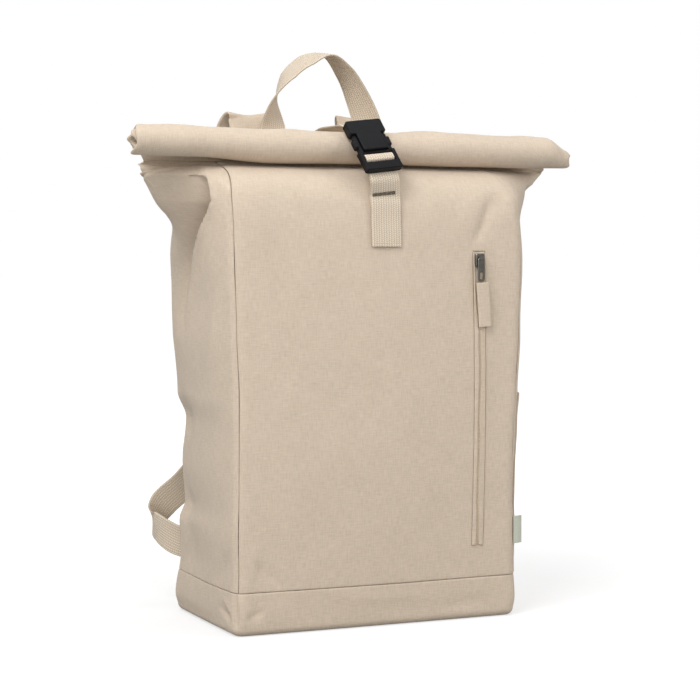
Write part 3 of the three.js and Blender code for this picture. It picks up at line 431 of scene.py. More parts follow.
def side_point(side, t, z):
    """Point of a side: the box's flank, a tent that flares at the neck, swell, less hollows."""
    front, back = faces_at(z)
    half = (back - front) / 2
    middle = (front + back) / 2
    corner = corner_at(z)
    fullness = fullness_at(z)
    reach = half - corner * TO_SEAM
    thin = np.minimum(1, np.abs(t) / 0.06)
    least = np.minimum(NECK_HALF, half) * np.sqrt(thin * (2 - thin))
    off = np.sign(t) * np.minimum(reach, np.maximum(np.abs(t) * reach, least))
    past = np.maximum(0, np.abs(off) - (half - corner))
    turned = corner - np.sqrt(np.maximum(0, corner ** 2 - past ** 2))
    full = math.sqrt(1 + TENT_SOFT * TENT_SOFT)
    tent = wing_at(side, z) * (full - np.sqrt(t * t + TENT_SOFT * TENT_SOFT)) / (full - TENT_SOFT)
    out = HALF_WIDTH - turned + tent + SIDE_SWELL[side] * (1 - t * t) * fullness
    hand = "left" if side < 0 else "right"
    fore = corner_reach(f"front_{hand}", z)
    rear = corner_reach(f"back_{hand}", z)
    out = out - side_hollow(side, t, z) + fore + (rear - fore) * (t + 1) / 2
    return np.stack([side * out + SIDE_SHIFT * fullness, middle + off, z + 0 * out], -1)


print("pleats:", sum(map(len, PLEATS.values())), "dents:", sum(map(len, DENTS.values())))

# %% [markdown]
# Sewn edges sink. Where two panels meet, their turnings are folded inwards, so the
# cloth drops into a narrow groove. Each panel is lowered close to its edges by a
# quarter circle, which catches light as the real seam does.

# %% Sunk seams
ROWS = 150
SEAM_WIDTH = 2.0
SEAM_SINK = 0.8
ZIP_X = 108
ZIP_LOW = 71
ZIP_HIGH = 353
ZIP_SLOT = 13


def seam_sink(distance):
    """How far cloth lies below its face at a distance from a seam: a quarter circle."""
    share = np.clip(distance / SEAM_WIDTH, 0, 1)
    return SEAM_SINK * (1 - np.sqrt(np.maximum(0, 1 - (1 - share) ** 2)))


def panel_rows():
    """Heights from the band's seam to the collar's seam, closer together near the top."""
    low = BAND_HEIGHT + SEAM_GAP / 2
    share = np.linspace(0, 1, ROWS)
    rows = low + (COLLAR_SEAM - low) * (1 - (1 - share) ** 1.9)
    edges = low + SEAM_WIDTH * np.array([0.15, 0.4, 0.7, 1.0])
    return np.sort(np.concatenate([rows, edges, [ZIP_LOW, ZIP_HIGH]]))


def shares(count, half_length):
    """Places from -1 to 1 with extra ones close to both ends, for the sunk seams."""
    base = np.linspace(-1, 1, count)
    near = 1 - SEAM_WIDTH * np.array([0.12, 0.3, 0.55, 0.8]) / half_length
    return np.sort(np.concatenate([base, near, -near]))


def inset_ends(points, by):
    """Draws the first and last column of a grid in along its rows by a distance."""
    for edge, beside in ((0, 1), (-1, -2)):
        step = points[:, beside] - points[:, edge]
        points[:, edge] += step / np.linalg.norm(step, axis=-1, keepdims=True) * by
    return points


def sewn_panel(points, edge_columns, edge_rows, extra):
    """Moves a panel's grid along its normals: out by extra, in by the sunk seams."""
    sink = seam_sink(edge_columns) + seam_sink(edge_rows)
    return inset_ends(points + normals_of(points) * (extra - sink)[..., None], SEAM_GAP / 2)


rows = panel_rows()
row_gap = (rows - rows[0])[:, None]
print("panels have", len(rows), "rows, and seams sunk by", SEAM_SINK, "mm")

# %% [markdown]
# The photograph shows where this bag is creased: a slanting crease beside the zip,
# sharp folds where the left side tucks in under the roll, and small puckers at the
# foot. Each is a line in a table, from one place to another, in mm across and up.

# %% The creases of each panel
FRONT_FOLDS = [
    dict(start=(-128, 425), end=(-112, 330), lift=1.6, width=9),
    dict(start=(-100, 420), end=(-60, 372), lift=-1.0, width=14),
    dict(start=(30, 352), end=(60, 396), lift=1.0, width=16),
    dict(start=(126, 412), end=(101, 360), lift=-2.6, width=5),
    dict(start=(108, 412), end=(84, 368), lift=1.4, width=12),
    dict(start=(-124, 66), end=(-96, 44), lift=-1.2, width=5),
    dict(start=(-118, 92), end=(-128, 46), lift=1.0, width=5),
    dict(start=(60, 60), end=(96, 46), lift=-0.7, width=7),
    dict(start=(118, 250), end=(128, 160), lift=-1.4, width=8),
    dict(start=(-60, 250), end=(20, 170), lift=-0.8, width=30),
]
BACK_FOLDS = [
    dict(start=(-70, 350), end=(-90, 250), lift=-1.2, width=14),
    dict(start=(70, 350), end=(95, 240), lift=-1.2, width=14),
    dict(start=(-20, 300), end=(25, 200), lift=1.0, width=30),
    dict(start=(100, 72), end=(60, 110), lift=1.0, width=9),
    dict(start=(-100, 72), end=(-60, 110), lift=1.0, width=9),
]
SIDE_FOLDS = {
    -1: [
        dict(start=(-68, 436), end=(-62, 388), lift=2.2, width=4.5),
        dict(start=(-65, 402), end=(-12, 342), lift=3.0, width=4.5),
        dict(start=(-22, 354), end=(26, 284), lift=2.4, width=6),
        dict(start=(-56, 428), end=(-46, 384), lift=-4.5, width=8),
        dict(start=(-50, 396), end=(2, 344), lift=-5.5, width=7.5),
        dict(start=(-74, 420), end=(-82, 402), lift=1.6, width=4),
        dict(start=(-54, 436), end=(60, 417), lift=-3.4, width=1.3),
        dict(start=(-54, 432), end=(60, 413), lift=-2.6, width=1.2),
        dict(start=(6, 424), end=(20, 388), lift=3.5, width=12),
        dict(start=(10, 384), end=(52, 362), lift=-2.4, width=8),
        dict(start=(14, 372), end=(66, 340), lift=1.8, width=9),
        dict(start=(-60, 330), end=(-26, 232), lift=1.4, width=13),
        dict(start=(20, 190), end=(70, 160), lift=1.4, width=9),
        dict(start=(0, 120), end=(70, 96), lift=-1.5, width=9),
        dict(start=(-72, 76), end=(-40, 44), lift=-1.6, width=6),
        dict(start=(10, 76), end=(30, 44), lift=1.3, width=6),
    ],
    1: [
        dict(start=(-40, 424), end=(-70, 320), lift=1.4, width=8),
        dict(start=(0, 415), end=(40, 390), lift=-1.8, width=7),
        dict(start=(-10, 370), end=(50, 345), lift=1.2, width=10),
        dict(start=(-60, 300), end=(-20, 240), lift=1.0, width=12),
    ],
}
print("creases:", len(FRONT_FOLDS), "in front,", len(BACK_FOLDS), "behind,",
      len(SIDE_FOLDS[-1]), "on the left,", len(SIDE_FOLDS[1]), "on the right")

# %% [markdown]
# Now the four panels can be cut and sewn. Each is its part of the form, with its
# creases added along the form's normals, and a slot is left in the front for the
# zip. They are separate pieces, as on the bag, so each takes its own weave.

# %% The four panels
ZIP_CALM = 14
TOP_CALM = 14
SIDE_SEEDS = {-1: 5, 1: 6}


def dressed(piece, node, slot):
    """A new piece that rides with the bag, stands for a CAD node and takes a slot's finish."""
    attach(piece, "root")
    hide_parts(node)
    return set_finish(piece, slot)


def front_or_back(sign, table, seed):
    """The front or back panel: its form, its folds, and for the front a slot for the zip."""
    places = shares(150, FRONT_SEAM)
    slot = [(ZIP_X + side * ZIP_SLOT / 2 - SIDE_SHIFT) / FRONT_SEAM for side in (-1, 1)]
    if sign < 0:
        places = np.sort(np.concatenate([places, slot]))
    u, z = np.meshgrid(places, rows)
    points = panel_point(sign, u, z)
    if sign > 0:
        points = points[:, ::-1]
        u = u[:, ::-1]
    beside_zip = bump(u * FRONT_SEAM - ZIP_X + SIDE_SHIFT, ZIP_CALM)
    calm = beside_zip * np.clip((ZIP_HIGH + ZIP_CALM - z) / 12, 0, 1) if sign < 0 else 0
    top = np.clip((COLLAR_SEAM - z) / TOP_CALM, 0, 1)
    extra = folds(table, u * FRONT_SEAM, z) + ripple(u * FRONT_SEAM, z, seed, 130, 0.35)
    extra = extra * (1 - calm) * top
    grid = sewn_panel(points, (1 - np.abs(u)) * FRONT_SEAM, row_gap + 0 * u, extra)
    if sign > 0:
        return cloth("back_cloth", grid, WALL)
    centre = (places[:-1] + places[1:]) / 2
    column = (centre > slot[0]) & (centre < slot[1])
    row = (rows[:-1] >= ZIP_LOW - 0.01) & (rows[1:] <= ZIP_HIGH + 0.01)
    return cloth("front_cloth", grid, WALL, ~(row[:, None] & column[None, :]))


def side_lift(side, t, z):
    """Height of the finer folds and unevenness of a side over its form, in mm."""
    top = np.clip((COLLAR_SEAM - z) / TOP_CALM, 0, 1)
    extra = folds(SIDE_FOLDS[side], t * HALF_DEPTH, z)
    extra = (extra + ripple(t * HALF_DEPTH, z, SIDE_SEEDS[side], 90, 0.5)) * top
    return extra * np.clip(half_depth_at(z) / 30, 0, 1)


def side_panel(name, side):
    """A side panel: its form with pleats and dents, and finer folds from the table."""
    t, z = np.meshgrid(shares(130, HALF_DEPTH), rows)
    points = side_point(side, t, z)
    if side < 0:
        points = points[:, ::-1]
        t = t[:, ::-1]
    edge = (1 - np.abs(t)) * HALF_DEPTH
    return cloth(name, sewn_panel(points, edge, row_gap + 0 * t, side_lift(side, t, z)), WALL)


dressed(front_or_back(-1, FRONT_FOLDS, 3), "front_panel", "canvas")
dressed(front_or_back(1, BACK_FOLDS, 4), "back_panel", "canvas")
dressed(side_panel("left_cloth", -1), "left_side", "canvas")
dressed(side_panel("right_cloth", 1), "right_side", "canvas")
print("four panels of", len(rows), "rows")

# %% [markdown]
# The bottom of the bag is a tray of the same canvas: a band round all four sides
# and a flat base. Its edge is turned under with a small radius. Rings of points
# round the body's section, drawn in towards the base, give one closed surface. A
# short table gives it its own creases, most of them at the corners.

# %% Rings round the foot of the bag
BAND_FOLDS = [
    dict(start=(-137, 44), end=(-137, 2), lift=-1.8, width=1.4),
    dict(start=(-144, 12), end=(-178, 24), lift=-1.8, width=3),
    dict(start=(-142, 19), end=(-170, 33), lift=1.3, width=3),
    dict(start=(-131, 14), end=(-112, 24), lift=-1.0, width=3),
    dict(start=(-HALF_WIDTH - 30, 30), end=(-HALF_WIDTH - 10, 8), lift=-1.0, width=5),
    dict(start=(-HALF_WIDTH + 4, 38), end=(-HALF_WIDTH + 14, 4), lift=1.2, width=4),
    dict(start=(-HALF_WIDTH + 24, 38), end=(-HALF_WIDTH + 18, 8), lift=-0.8, width=5),
    dict(start=(-40, 30), end=(60, 26), lift=0.7, width=6),
    dict(start=(70, 14), end=(120, 20), lift=-0.7, width=6),
]


def body_ring(z):
    """The closed section of the bag at one height, anticlockwise from the front's left."""
    front = panel_point(-1, shares(100, FRONT_SEAM), np.full(1, z))
    right = side_point(1, shares(60, HALF_DEPTH), np.full(1, z))
    back = panel_point(1, shares(100, FRONT_SEAM)[::-1], np.full(1, z))
    left = side_point(-1, shares(60, HALF_DEPTH)[::-1], np.full(1, z))
    return np.concatenate([front[:-1], right[:-1], back[:-1], left[:-1]])


def ring_outward(ring):
    """Level unit vectors that point out of a ring: its run, turned a quarter."""
    run = np.roll(ring, -1, axis=0) - np.roll(ring, 1, axis=0)
    out = np.stack([run[:, 1], -run[:, 0], 0 * run[:, 0]], -1)
    return out / np.linalg.norm(out, axis=1, keepdims=True)


print("band creases:", len(BAND_FOLDS), "and", len(body_ring(BAND_HEIGHT)), "points to a ring")

# %% [markdown]
# The tray is made twice, once for the outer wall and once for the inner, which is
# moved in by the wall. Each has a quarter round at the base and then goes straight
# up. The two meet in a rim at the top, and a fan of triangles closes each below.

# %% The tray
def tray_layer(wall):
    """Rings of the tray moved in by the wall: quarter round at the base, then up the band."""
    bend = BASE_CORNER - wall
    turn = np.radians(np.linspace(0, 90, 9))
    base = body_ring(BASE_CORNER)
    out = ring_outward(base)
    rings = []
    for angle in turn:
        ring = base - out * (wall + bend * (1 - math.sin(angle)))
        ring[:, 2] = wall + bend * (1 - math.cos(angle))
        rings.append(ring)
    top = BAND_HEIGHT - SEAM_GAP / 2
    near = top - SEAM_WIDTH * np.array([1.0, 0.7, 0.45, 0.25, 0.1, 0.0])
    for z in np.concatenate([np.linspace(BASE_CORNER + 1.5, near[0] - 1.2, 16), near]):
        ring = body_ring(z)
        out = ring_outward(ring)
        across = np.where(ring[:, 1] < 0, ring[:, 0], 400 + ring[:, 0])
        flank = (np.abs(ring[:, 1]) < HALF_DEPTH - 12) & (ring[:, 0] < 0)
        across = np.where(flank, -HALF_WIDTH - HALF_DEPTH - ring[:, 1], across)
        extra = folds(BAND_FOLDS, across, z) + ripple(across, z, 8, 70, 0.25)
        fade = min(1, (z - BASE_CORNER) / 6)
        ring = ring + out * ((extra * fade - seam_sink(top - z)) - wall)[:, None]
        rings.append(ring)
    return np.array(rings)


def base_tray():
    """Outer and inner rings joined by a rim at the top, each closed by a flat fan below."""
    outer = tray_layer(0.0)
    inner = tray_layer(WALL)
    count = outer.shape[1]
    total = outer.shape[0] * count
    closed = np.concatenate([outer, outer[:, :1]], axis=1)
    number = numbered(*outer.shape[:2], closed=True)
    quads = quads_of(number).reshape(-1, 4)
    centres = np.array([[0, 0, 0.0], [0, 0, WALL]])
    low = np.full(count, 2 * total)
    fan = np.stack([low, number[0, 1:], number[0, :-1]], -1)
    fan_in = np.stack([low + 1, number[0, :-1] + total, number[0, 1:] + total], -1)
    points = np.concatenate([outer.reshape(-1, 3), inner.reshape(-1, 3), centres])
    faces = np.concatenate([quads, quads[:, ::-1] + total, rim(number[-1], total)]).tolist()
    faces += np.concatenate([fan, fan_in]).tolist()
    run = lengths(closed, 1)[:, :-1].reshape(-1)
    up = lengths(closed, 0)[:, :-1].reshape(-1)
    uv = np.concatenate([np.stack([run, up], -1)] * 2 + [centres[:, :2]])
    return mesh_object("base_cloth", points, faces, uv)


dressed(base_tray(), "base_band", "canvas")
print("base tray", BAND_HEIGHT, "mm high")

# %% [markdown]
# The neck of the bag is a flat tube of canvas, rolled forwards about two turns.
# A flattened spiral gives the path of the cloth in a section, and the tube runs
# along it from wing to wing. The roll is not even. The strap pulls it in a little,
# its left end is thinner and stands higher, and its right end tapers, so a short
# table gives its size and its lift along its length.

# %% How the roll swells and creases
ROLL_SWELLS = {
    "along": [-1.0, -0.74, -0.40, -0.06, 0.10, 0.42, 0.75, 0.89, 1.0],
    "size": [0.84, 0.86, 1.03, 0.97, 0.97, 1.04, 1.0, 0.95, 0.52],
    "lift": [0.10, 0.085, 0, 0, 0, 0, 0, 0, -0.16],
}
ROLL_FOLDS = [
    dict(start=(-190, 6), end=(-60, 16), lift=1.6, width=5),
    dict(start=(-120, 26), end=(-20, 20), lift=-1.2, width=5),
    dict(start=(-205, 22), end=(-150, 34), lift=1.4, width=5),
    dict(start=(-30, 10), end=(-95, 36), lift=1.2, width=5),
    dict(start=(28, 12), end=(90, 32), lift=1.5, width=5),
    dict(start=(60, 8), end=(190, 18), lift=1.5, width=6),
    dict(start=(100, 34), end=(205, 26), lift=-1.6, width=5),
    dict(start=(150, 10), end=(215, 34), lift=1.3, width=5),
]
NECK_STEPS = 14
TURN_STEPS = 44
END_HEM = 0.3
END_FROM = 0.985
END_SHARE = 0.015
CORE_TO = 0.966


print("roll creases:", len(ROLL_FOLDS))

# %% [markdown]
# The tube's path has two stretches. In the neck the open mouth closes until its two
# layers touch, and then the closed tube winds as a spiral. One function gives both,
# and the roll's swelling and lift grow from nothing where the spiral starts.

# %% The path of the collar
def collar_line(k, along):
    """The tube at step k and place along: its middle in y and z, half its thickness, half
    its hollow and half its length. First the neck closes, then it winds as a flattened
    spiral, whose radii shrink by the pitch at each turn."""
    seam = COLLAR_SEAM + SEAM_GAP
    front, back = faces_at(seam)
    half = (back - front) / 2
    middle = (front + back) / 2
    wing = wing_at(along, seam)
    seam_length = HALF_WIDTH + wing
    rise = np.clip(k / NECK_STEPS, 0, 1)
    closing = (1 - rise) ** 1.6
    past = np.clip((np.abs(along * seam_length) - HALF_WIDTH) / wing, 0, 1)
    wide = np.maximum(NECK_HALF, half * (1 - past))
    size = smooth_look_up(ROLL_SWELLS, "along", "size", along)
    turn = np.maximum(0, k - NECK_STEPS) / TURN_STEPS
    grown = np.minimum(1, turn * 4)
    scale = 1 + (size - 1) * grown
    lift = ROLL_HEIGHT * smooth_look_up(ROLL_SWELLS, "along", "lift", along) * grown
    angle = turn * 2 * np.pi
    rolled = k >= NECK_STEPS
    y = np.where(rolled, ROLL_Y + (ROLL_REACH - ROLL_PITCH * turn) * scale * np.cos(angle),
                 NECK_Y + (middle - NECK_Y) * closing)
    z = np.where(rolled, ROLL_Z + lift + (ROLL_RISE - ROLL_PITCH * turn) * scale * np.sin(angle),
                 seam + (ROLL_Z - seam) * rise)
    hem = END_HEM * np.clip((np.abs(along) - 0.93) / 0.05, 0, 1) * grown
    outside = np.where(rolled, LAYER_HALF, LAYER_HALF + (wide - LAYER_HALF) * closing) + hem
    wall = ROLL_WALL * (1 + 1.2 * np.where(rolled, 0, closing))
    hollow = np.maximum(ROLL_SLOT / 2, outside - wall)
    drawn = np.where(along < 0, NECK_TUCK[-1], NECK_TUCK[1]) * np.maximum(0, 1 - 5 * turn)
    full = HALF_WIDTH + math.sqrt(HALF_DEPTH ** 2 - NECK_HALF ** 2) - drawn
    length = seam_length + (full - seam_length) * rise
    return y, z, outside, hollow, length


tube_middle = collar_line(np.array(NECK_STEPS + 0.0), np.array(0.0))
print("the roll starts at a height of", round(float(tube_middle[1]), 1), "mm")

# %% [markdown]
# Round the path goes a thin oval: the back layer from left to right, then the front
# layer back again. Creases and waves lift the outermost turn alone, since the turns
# inside it are pressed flat.

# %% The rolled collar
def collar_layer(inside):
    """Rings of the tube: the back layer from left to right, then the front layer back."""
    steps = NECK_STEPS + round(ROLL_TURNS * TURN_STEPS)
    ease = np.sin(np.linspace(-np.pi / 2, np.pi / 2, 9)) * END_SHARE + END_FROM
    core = np.linspace(-CORE_TO, CORE_TO, 150)
    along = np.concatenate([-ease[::-1], core, ease])
    k, spots = np.meshgrid(np.arange(steps + 1.0), along, indexing="ij")
    y, z, outside, hollow, length = collar_line(k, spots)
    half = hollow if inside else outside
    past = ((np.abs(spots) - END_FROM) / END_SHARE).clip(0, 1)
    thick = half * np.sqrt(np.clip(1 - past ** 2, 0, 1))
    thick = np.where(np.abs(spots) > 0.999, 0, thick)
    run_y = np.gradient(y, axis=0)
    run_z = np.gradient(z, axis=0)
    size = np.hypot(run_y, run_z)
    flat = k < NECK_STEPS
    normal_y = np.where(flat, 1, run_z / size)
    normal_z = np.where(flat, 0, -run_y / size)
    uneven = 2.2 * np.sin(k * 0.19) + 1.5 * np.sin(k * 0.43 + 1)
    trim = ROLL_WALL if inside else 0
    x = spots * (length - trim)
    x = x + np.where(flat, 0, 1) * uneven * np.abs(spots) ** 12 * np.sign(spots)
    turned = (k - NECK_STEPS) / TURN_STEPS
    wave = folds(ROLL_FOLDS, x, turned * 100) + ripple(x * 0.5, turned * 60, 11, 60, 0.45)
    wave = wave * np.clip(turned * 5, 0, 1) * np.clip((1.0 - turned) * 4, 0, 1)
    y = y + normal_y * wave
    z = z + normal_z * wave
    back = np.stack([x, y + normal_y * thick, z + normal_z * thick], -1)
    fore = np.stack([x, y - normal_y * thick, z - normal_z * thick], -1)
    return np.concatenate([back, fore[:, ::-1][:, 1:-1]], axis=1)


def ring_wall(name, outer, inner):
    """Two stacks of closed rings, one inside the other, with a rim at both ends."""
    total = outer.shape[0] * outer.shape[1]
    number = numbered(*outer.shape[:2], closed=True)
    quads = quads_of(number).reshape(-1, 4)
    first = rim(number[0], total)[:, [1, 0, 3, 2]]
    faces = np.concatenate([quads, quads[:, ::-1] + total, first, rim(number[-1], total)])
    points = np.concatenate([outer.reshape(-1, 3), inner.reshape(-1, 3)])
    uv = np.stack([outer[..., 0], lengths(outer, 0)], -1).reshape(-1, 2)
    return mesh_object(name, points, faces.tolist(), np.concatenate([uv, uv]))


collar = ring_wall("roll_cloth", collar_layer(False), collar_layer(True))
dressed(collar, "roll_collar", "canvas")
print("collar rolled", ROLL_TURNS, "turns")

# %% [markdown]
# Webbing is a flat woven band with round edges. Each strap is the same flattened
# oval carried along a smooth path, with a direction for its width at every place,
# because a strap twists as it goes. The path is a centripetal spline through a few
# places, the same ones that the part's own straps use.

# %% Straps carried along a path
def unit(vectors):
    """The same directions with length one."""
    return vectors / np.linalg.norm(vectors, axis=-1, keepdims=True)


def square_to(vectors, along):
    """Unit vectors less their part along the others, so that each pair is square."""
    return unit(vectors - (vectors * along).sum(1, keepdims=True) * along)


def spline(points, shares_along):
    """Centripetal spline: each stretch is a cubic whose slopes weigh its neighbours by
    the square root of their distances."""
    points = np.array(points, float)
    before = 2 * points[0] - points[1]
    after = 2 * points[-1] - points[-2]
    padded = np.concatenate([[before], points, [after]])
    spot = shares_along * (len(points) - 1)
    i = np.clip(spot.astype(int), 0, len(points) - 2)
    w = (spot - i)[:, None]
    p0, p1, p2, p3 = (padded[i + k] for k in range(4))
    gap = [np.sqrt(np.linalg.norm(b - a, axis=1, keepdims=True)) for a, b in
           ((p0, p1), (p1, p2), (p2, p3))]
    slope1 = (p1 - p0) / gap[0] - (p2 - p0) / (gap[0] + gap[1]) + (p2 - p1) / gap[1]
    slope2 = (p2 - p1) / gap[1] - (p3 - p1) / (gap[1] + gap[2]) + (p3 - p2) / gap[2]
    slope1 = slope1 * gap[1]
    slope2 = slope2 * gap[1]
    return (p1 + slope1 * w + (3 * (p2 - p1) - 2 * slope1 - slope2) * w ** 2
            + (2 * (p1 - p2) + slope1 + slope2) * w ** 3)


def strap_frames(places, widths, steps):
    """Path, width direction and face direction at each step of a strap."""
    share = np.linspace(0, 1, steps + 1)
    path = spline(places, share)
    spot = share * (len(places) - 1)
    i = np.clip(spot.astype(int), 0, len(places) - 2)
    part = (spot - i)[:, None]
    widths = np.array(widths, float)
    tangent = unit(np.gradient(path, axis=0))
    across = square_to(widths[i] * (1 - part) + widths[i + 1] * part, tangent)
    return path, across, np.cross(tangent, across)


print("path helpers ready")

# %% [markdown]
# The band itself is an outline with half round edges, set at each place of the path.
# A strap that is bent hard also cups, which the cup value gives: its edges fall back
# by the square of their distance from the middle.

# %% A band along a path
ACROSS = (1.0, 0, 0)


def band_section(width, thick):
    """Half of a flat band's outline: a line with a half circle at each edge."""
    edge = np.radians(np.linspace(90, 0, 5))
    round_edge = thick / 2
    straight = width / 2 - round_edge
    right = np.stack([straight + round_edge * np.cos(edge), round_edge * np.sin(edge)], 1)
    flat = np.stack([np.linspace(-0.9, 0.9, 9) * straight, np.full(9, round_edge)], 1)
    left = right[::-1] * [-1, 1]
    return np.concatenate([left, flat, right])


def strap(name, frames, width, thick, cup=0.0):
    """A band's section carried along a path, with flat ends. Cup bends its edges back."""
    path, across, face = frames
    top = band_section(width, thick)
    outline = np.concatenate([top, (top * [1, -1])[::-1][1:-1]])
    w = outline[:, 0][None, :, None]
    n = (outline[:, 1] - cup * (outline[:, 0] / (width / 2)) ** 2)[None, :, None]
    grid = path[:, None] + across[:, None] * w + face[:, None] * n
    count = len(outline)
    number = numbered(len(path), count, closed=True)
    faces = quads_of(number).reshape(-1, 4)[:, ::-1].tolist()
    faces += [number[0, :-1].tolist(), number[-1, :-1][::-1].tolist()]
    along = lengths(path[:, None], 0)[:, 0]
    uv = np.stack([np.tile(outline[:, 0], len(path)), np.repeat(along, count)], -1)
    smooth = np.ones(len(faces), bool)
    smooth[-2:] = False
    return mesh_object(name, grid.reshape(-1, 3), faces, uv, smooth)


def on_panel(sign, x, z, lift):
    """A place on the front or back, lifted off its face along the face's own normal."""
    def place(px, pz):
        shifted = px - SIDE_SHIFT * fullness_at(pz)
        return panel_point(sign, np.clip(shifted / FRONT_SEAM, -1, 1), pz)
    x = np.asarray(x, float)
    z = np.asarray(z, float)
    slope_x = place(x + 1, z) - place(x - 1, z)
    slope_z = place(x, z + 1) - place(x, z - 1)
    normal = unit(-sign * np.cross(slope_x, slope_z))
    return place(x, z) + normal * np.asarray(lift)[..., None]


print("strap helpers ready")

# %% [markdown]
# The grab handle is a loop of webbing sewn on the back. It leaves the bag flat and
# turns as it rises, so that its outer face shows at the left and its woven inner
# face at the right.

# %% The grab handle
HANDLE_MIDDLE = 14
HUB_HEIGHT = 20


def handle_frames(steps):
    """Path and directions of the handle, from its left foot over its top to its right foot.
    Each place has a turn in degrees. Low down the width lies level. Higher up it points to
    a hub under the handle's top, and the turn swings it towards the back."""
    def foot(x, below):
        return on_panel(1, x, NECK - below, SEWN + WEB_THICK / 2)
    places = [
        (foot(-36, 56), 0), (foot(-36, 46), 0), (foot(-37, 36), 0),
        ((-39, 75, NECK - 8), 2), ((-40, 80, NECK + 12), 6), ((-40, 82, NECK + 36), 14),
        ((-37, 82, NECK + 64), 66), ((-24, 80, NECK + 88), 104), ((-4, 79, NECK + 104), 112),
        ((18, 79, NECK + 110), 96), ((38, 81, NECK + 93), 72), ((54, 83, NECK + 66), 56),
        ((65, 83, NECK + 38), 38), ((70, 80, NECK + 12), 14), ((70, 75, NECK - 8), 0),
        (foot(70, 36), 0), (foot(69, 46), 0), (foot(69, 56), 0)]
    share = np.linspace(0, 1, steps + 1)
    path = spline([spot for spot, turn in places], share)
    turns = np.radians(np.interp(share * (len(places) - 1), range(len(places)),
                                 [turn for spot, turn in places]))
    hub = np.array([HANDLE_MIDDLE, 0, NECK + HUB_HEIGHT])
    spoke = unit((hub - path) * [1, 0, 1])
    level = np.clip((path[:, 2] - hub[2]) / 60, 0, 1)
    flat = unit(np.stack([np.sign(spoke[:, 0]) * (1 - level) + spoke[:, 0] * level, 0 * level,
                          spoke[:, 2] * level], -1))
    across = flat * np.cos(turns)[:, None] + np.array([0, 1, 0]) * np.sin(turns)[:, None]
    tangent = unit(np.gradient(path, axis=0))
    across = square_to(across, tangent)
    return path, across, np.cross(tangent, across)


handle = handle_frames(220)
dressed(strap("handle_webbing", handle, WEB_WIDTH, WEB_THICK, 0.5), "carry_handle", "webbing")
print("handle reaches", round(float(handle[0][:, 2].max()), 1), "mm")

# %% [markdown]
# Shoulder straps are folded canvas, sewn on high up the back. They rise behind the
# roll, fold over and hang down to a plastic slider, from which webbing runs to the
# foot of the bag. The photograph shows little of them, so they stay plain.

# %% Shoulder straps and lower webbing
STRAP_X = 58
SLIDER_DROP = 262
SLIDER_THICK = 4
SLIDER_X = 96.5
SLIDER_Y = HALF_DEPTH + 18
SLIDER_Z = NECK - SLIDER_DROP


def shoulder_places(hand):
    """Places along a shoulder strap, from its foot on the back to its slider."""
    def foot(below):
        return on_panel(1, hand * STRAP_X, NECK - below, SEWN + STRAP_THICK / 2)
    before = SLIDER_Y - SLIDER_THICK / 2 - STRAP_THICK / 2 - SEWN
    rows_down = [(57, 5, 40), (57, 8, 2), (58, 12, -32), (60, 20, -47), (64, 30, -40),
                 (69, 39, -12), (76, 46, 45), (83, 43, 115), (89, 34, 180)]
    middle = [(hand * x, HALF_DEPTH + back, NECK - below) for x, back, below in rows_down]
    end = [(hand * 94, SLIDER_Y + 5, NECK - 228), (hand * 96, before, SLIDER_Z + 10),
           (hand * SLIDER_X, before - 0.2, SLIDER_Z + 3)]
    return [foot(96), foot(84), foot(72)] + middle + end


def lower_places(hand):
    """Places and width directions of the webbing from the slider to the foot of the bag."""
    behind = SLIDER_Y + SLIDER_THICK / 2 + SEWN + WEB_THICK / 2
    anchor = BAND_HEIGHT + WEB_WIDTH / 2 + 7
    rows_down = [
        ((SLIDER_X, behind, SLIDER_Z + 8), (1, 0, 0)),
        ((SLIDER_X, behind, SLIDER_Z - 2), (1, 0, 0)),
        ((97, behind + 0.6, SLIDER_Z - 15), (1, 0, 0.1)),
        ((103, behind + 6, SLIDER_Z - 34), (0.9, 0, 0.4)),
        ((120, HALF_DEPTH + 38, SLIDER_Z - 60), (0.75, 0, 0.65)),
        ((142, HALF_DEPTH + 46, SLIDER_Z - 82), (0.45, 0, 0.85)),
        ((154, HALF_DEPTH + 40, SLIDER_Z - 98), (0.1, -0.3, 0.95)),
        ((151, HALF_DEPTH + 26, anchor + 13), (0, -0.2, 1)),
        ((139, HALF_DEPTH + 12, anchor + 4), (0, 0, 1))]
    mirror = np.array([hand, 1, 1])
    places = [mirror * row[0] for row in rows_down]
    widths = [mirror * row[1] for row in rows_down]
    for x in (122, 106):
        places.append(on_panel(1, hand * x, anchor, SEWN + 0.4 + WEB_THICK / 2))
        widths.append((0, 0, 1))
    return places, widths


for hand, side in ((-1, "left"), (1, "right")):
    places = shoulder_places(hand)
    frames = strap_frames(places, [ACROSS] * len(places), 200)
    dressed(strap(f"shoulder_cloth_{side}", frames, STRAP_WIDTH, STRAP_THICK, 0.6),
            f"shoulder_strap_{side}", "canvas")
    frames = strap_frames(*lower_places(hand), 150)
    dressed(strap(f"lower_strap_{side}", frames, WEB_WIDTH, WEB_THICK, 0.3),
            f"lower_webbing_{side}", "webbing")
print("two shoulder straps with lower webbing")

# %% [markdown]
# The buckle lies on the front of the roll and leans with it, and the webbing goes
# through its bars. Both are easier to place in the buckle's own frame, with x across,
# y up along the strap and z out, so that frame is worked out first.

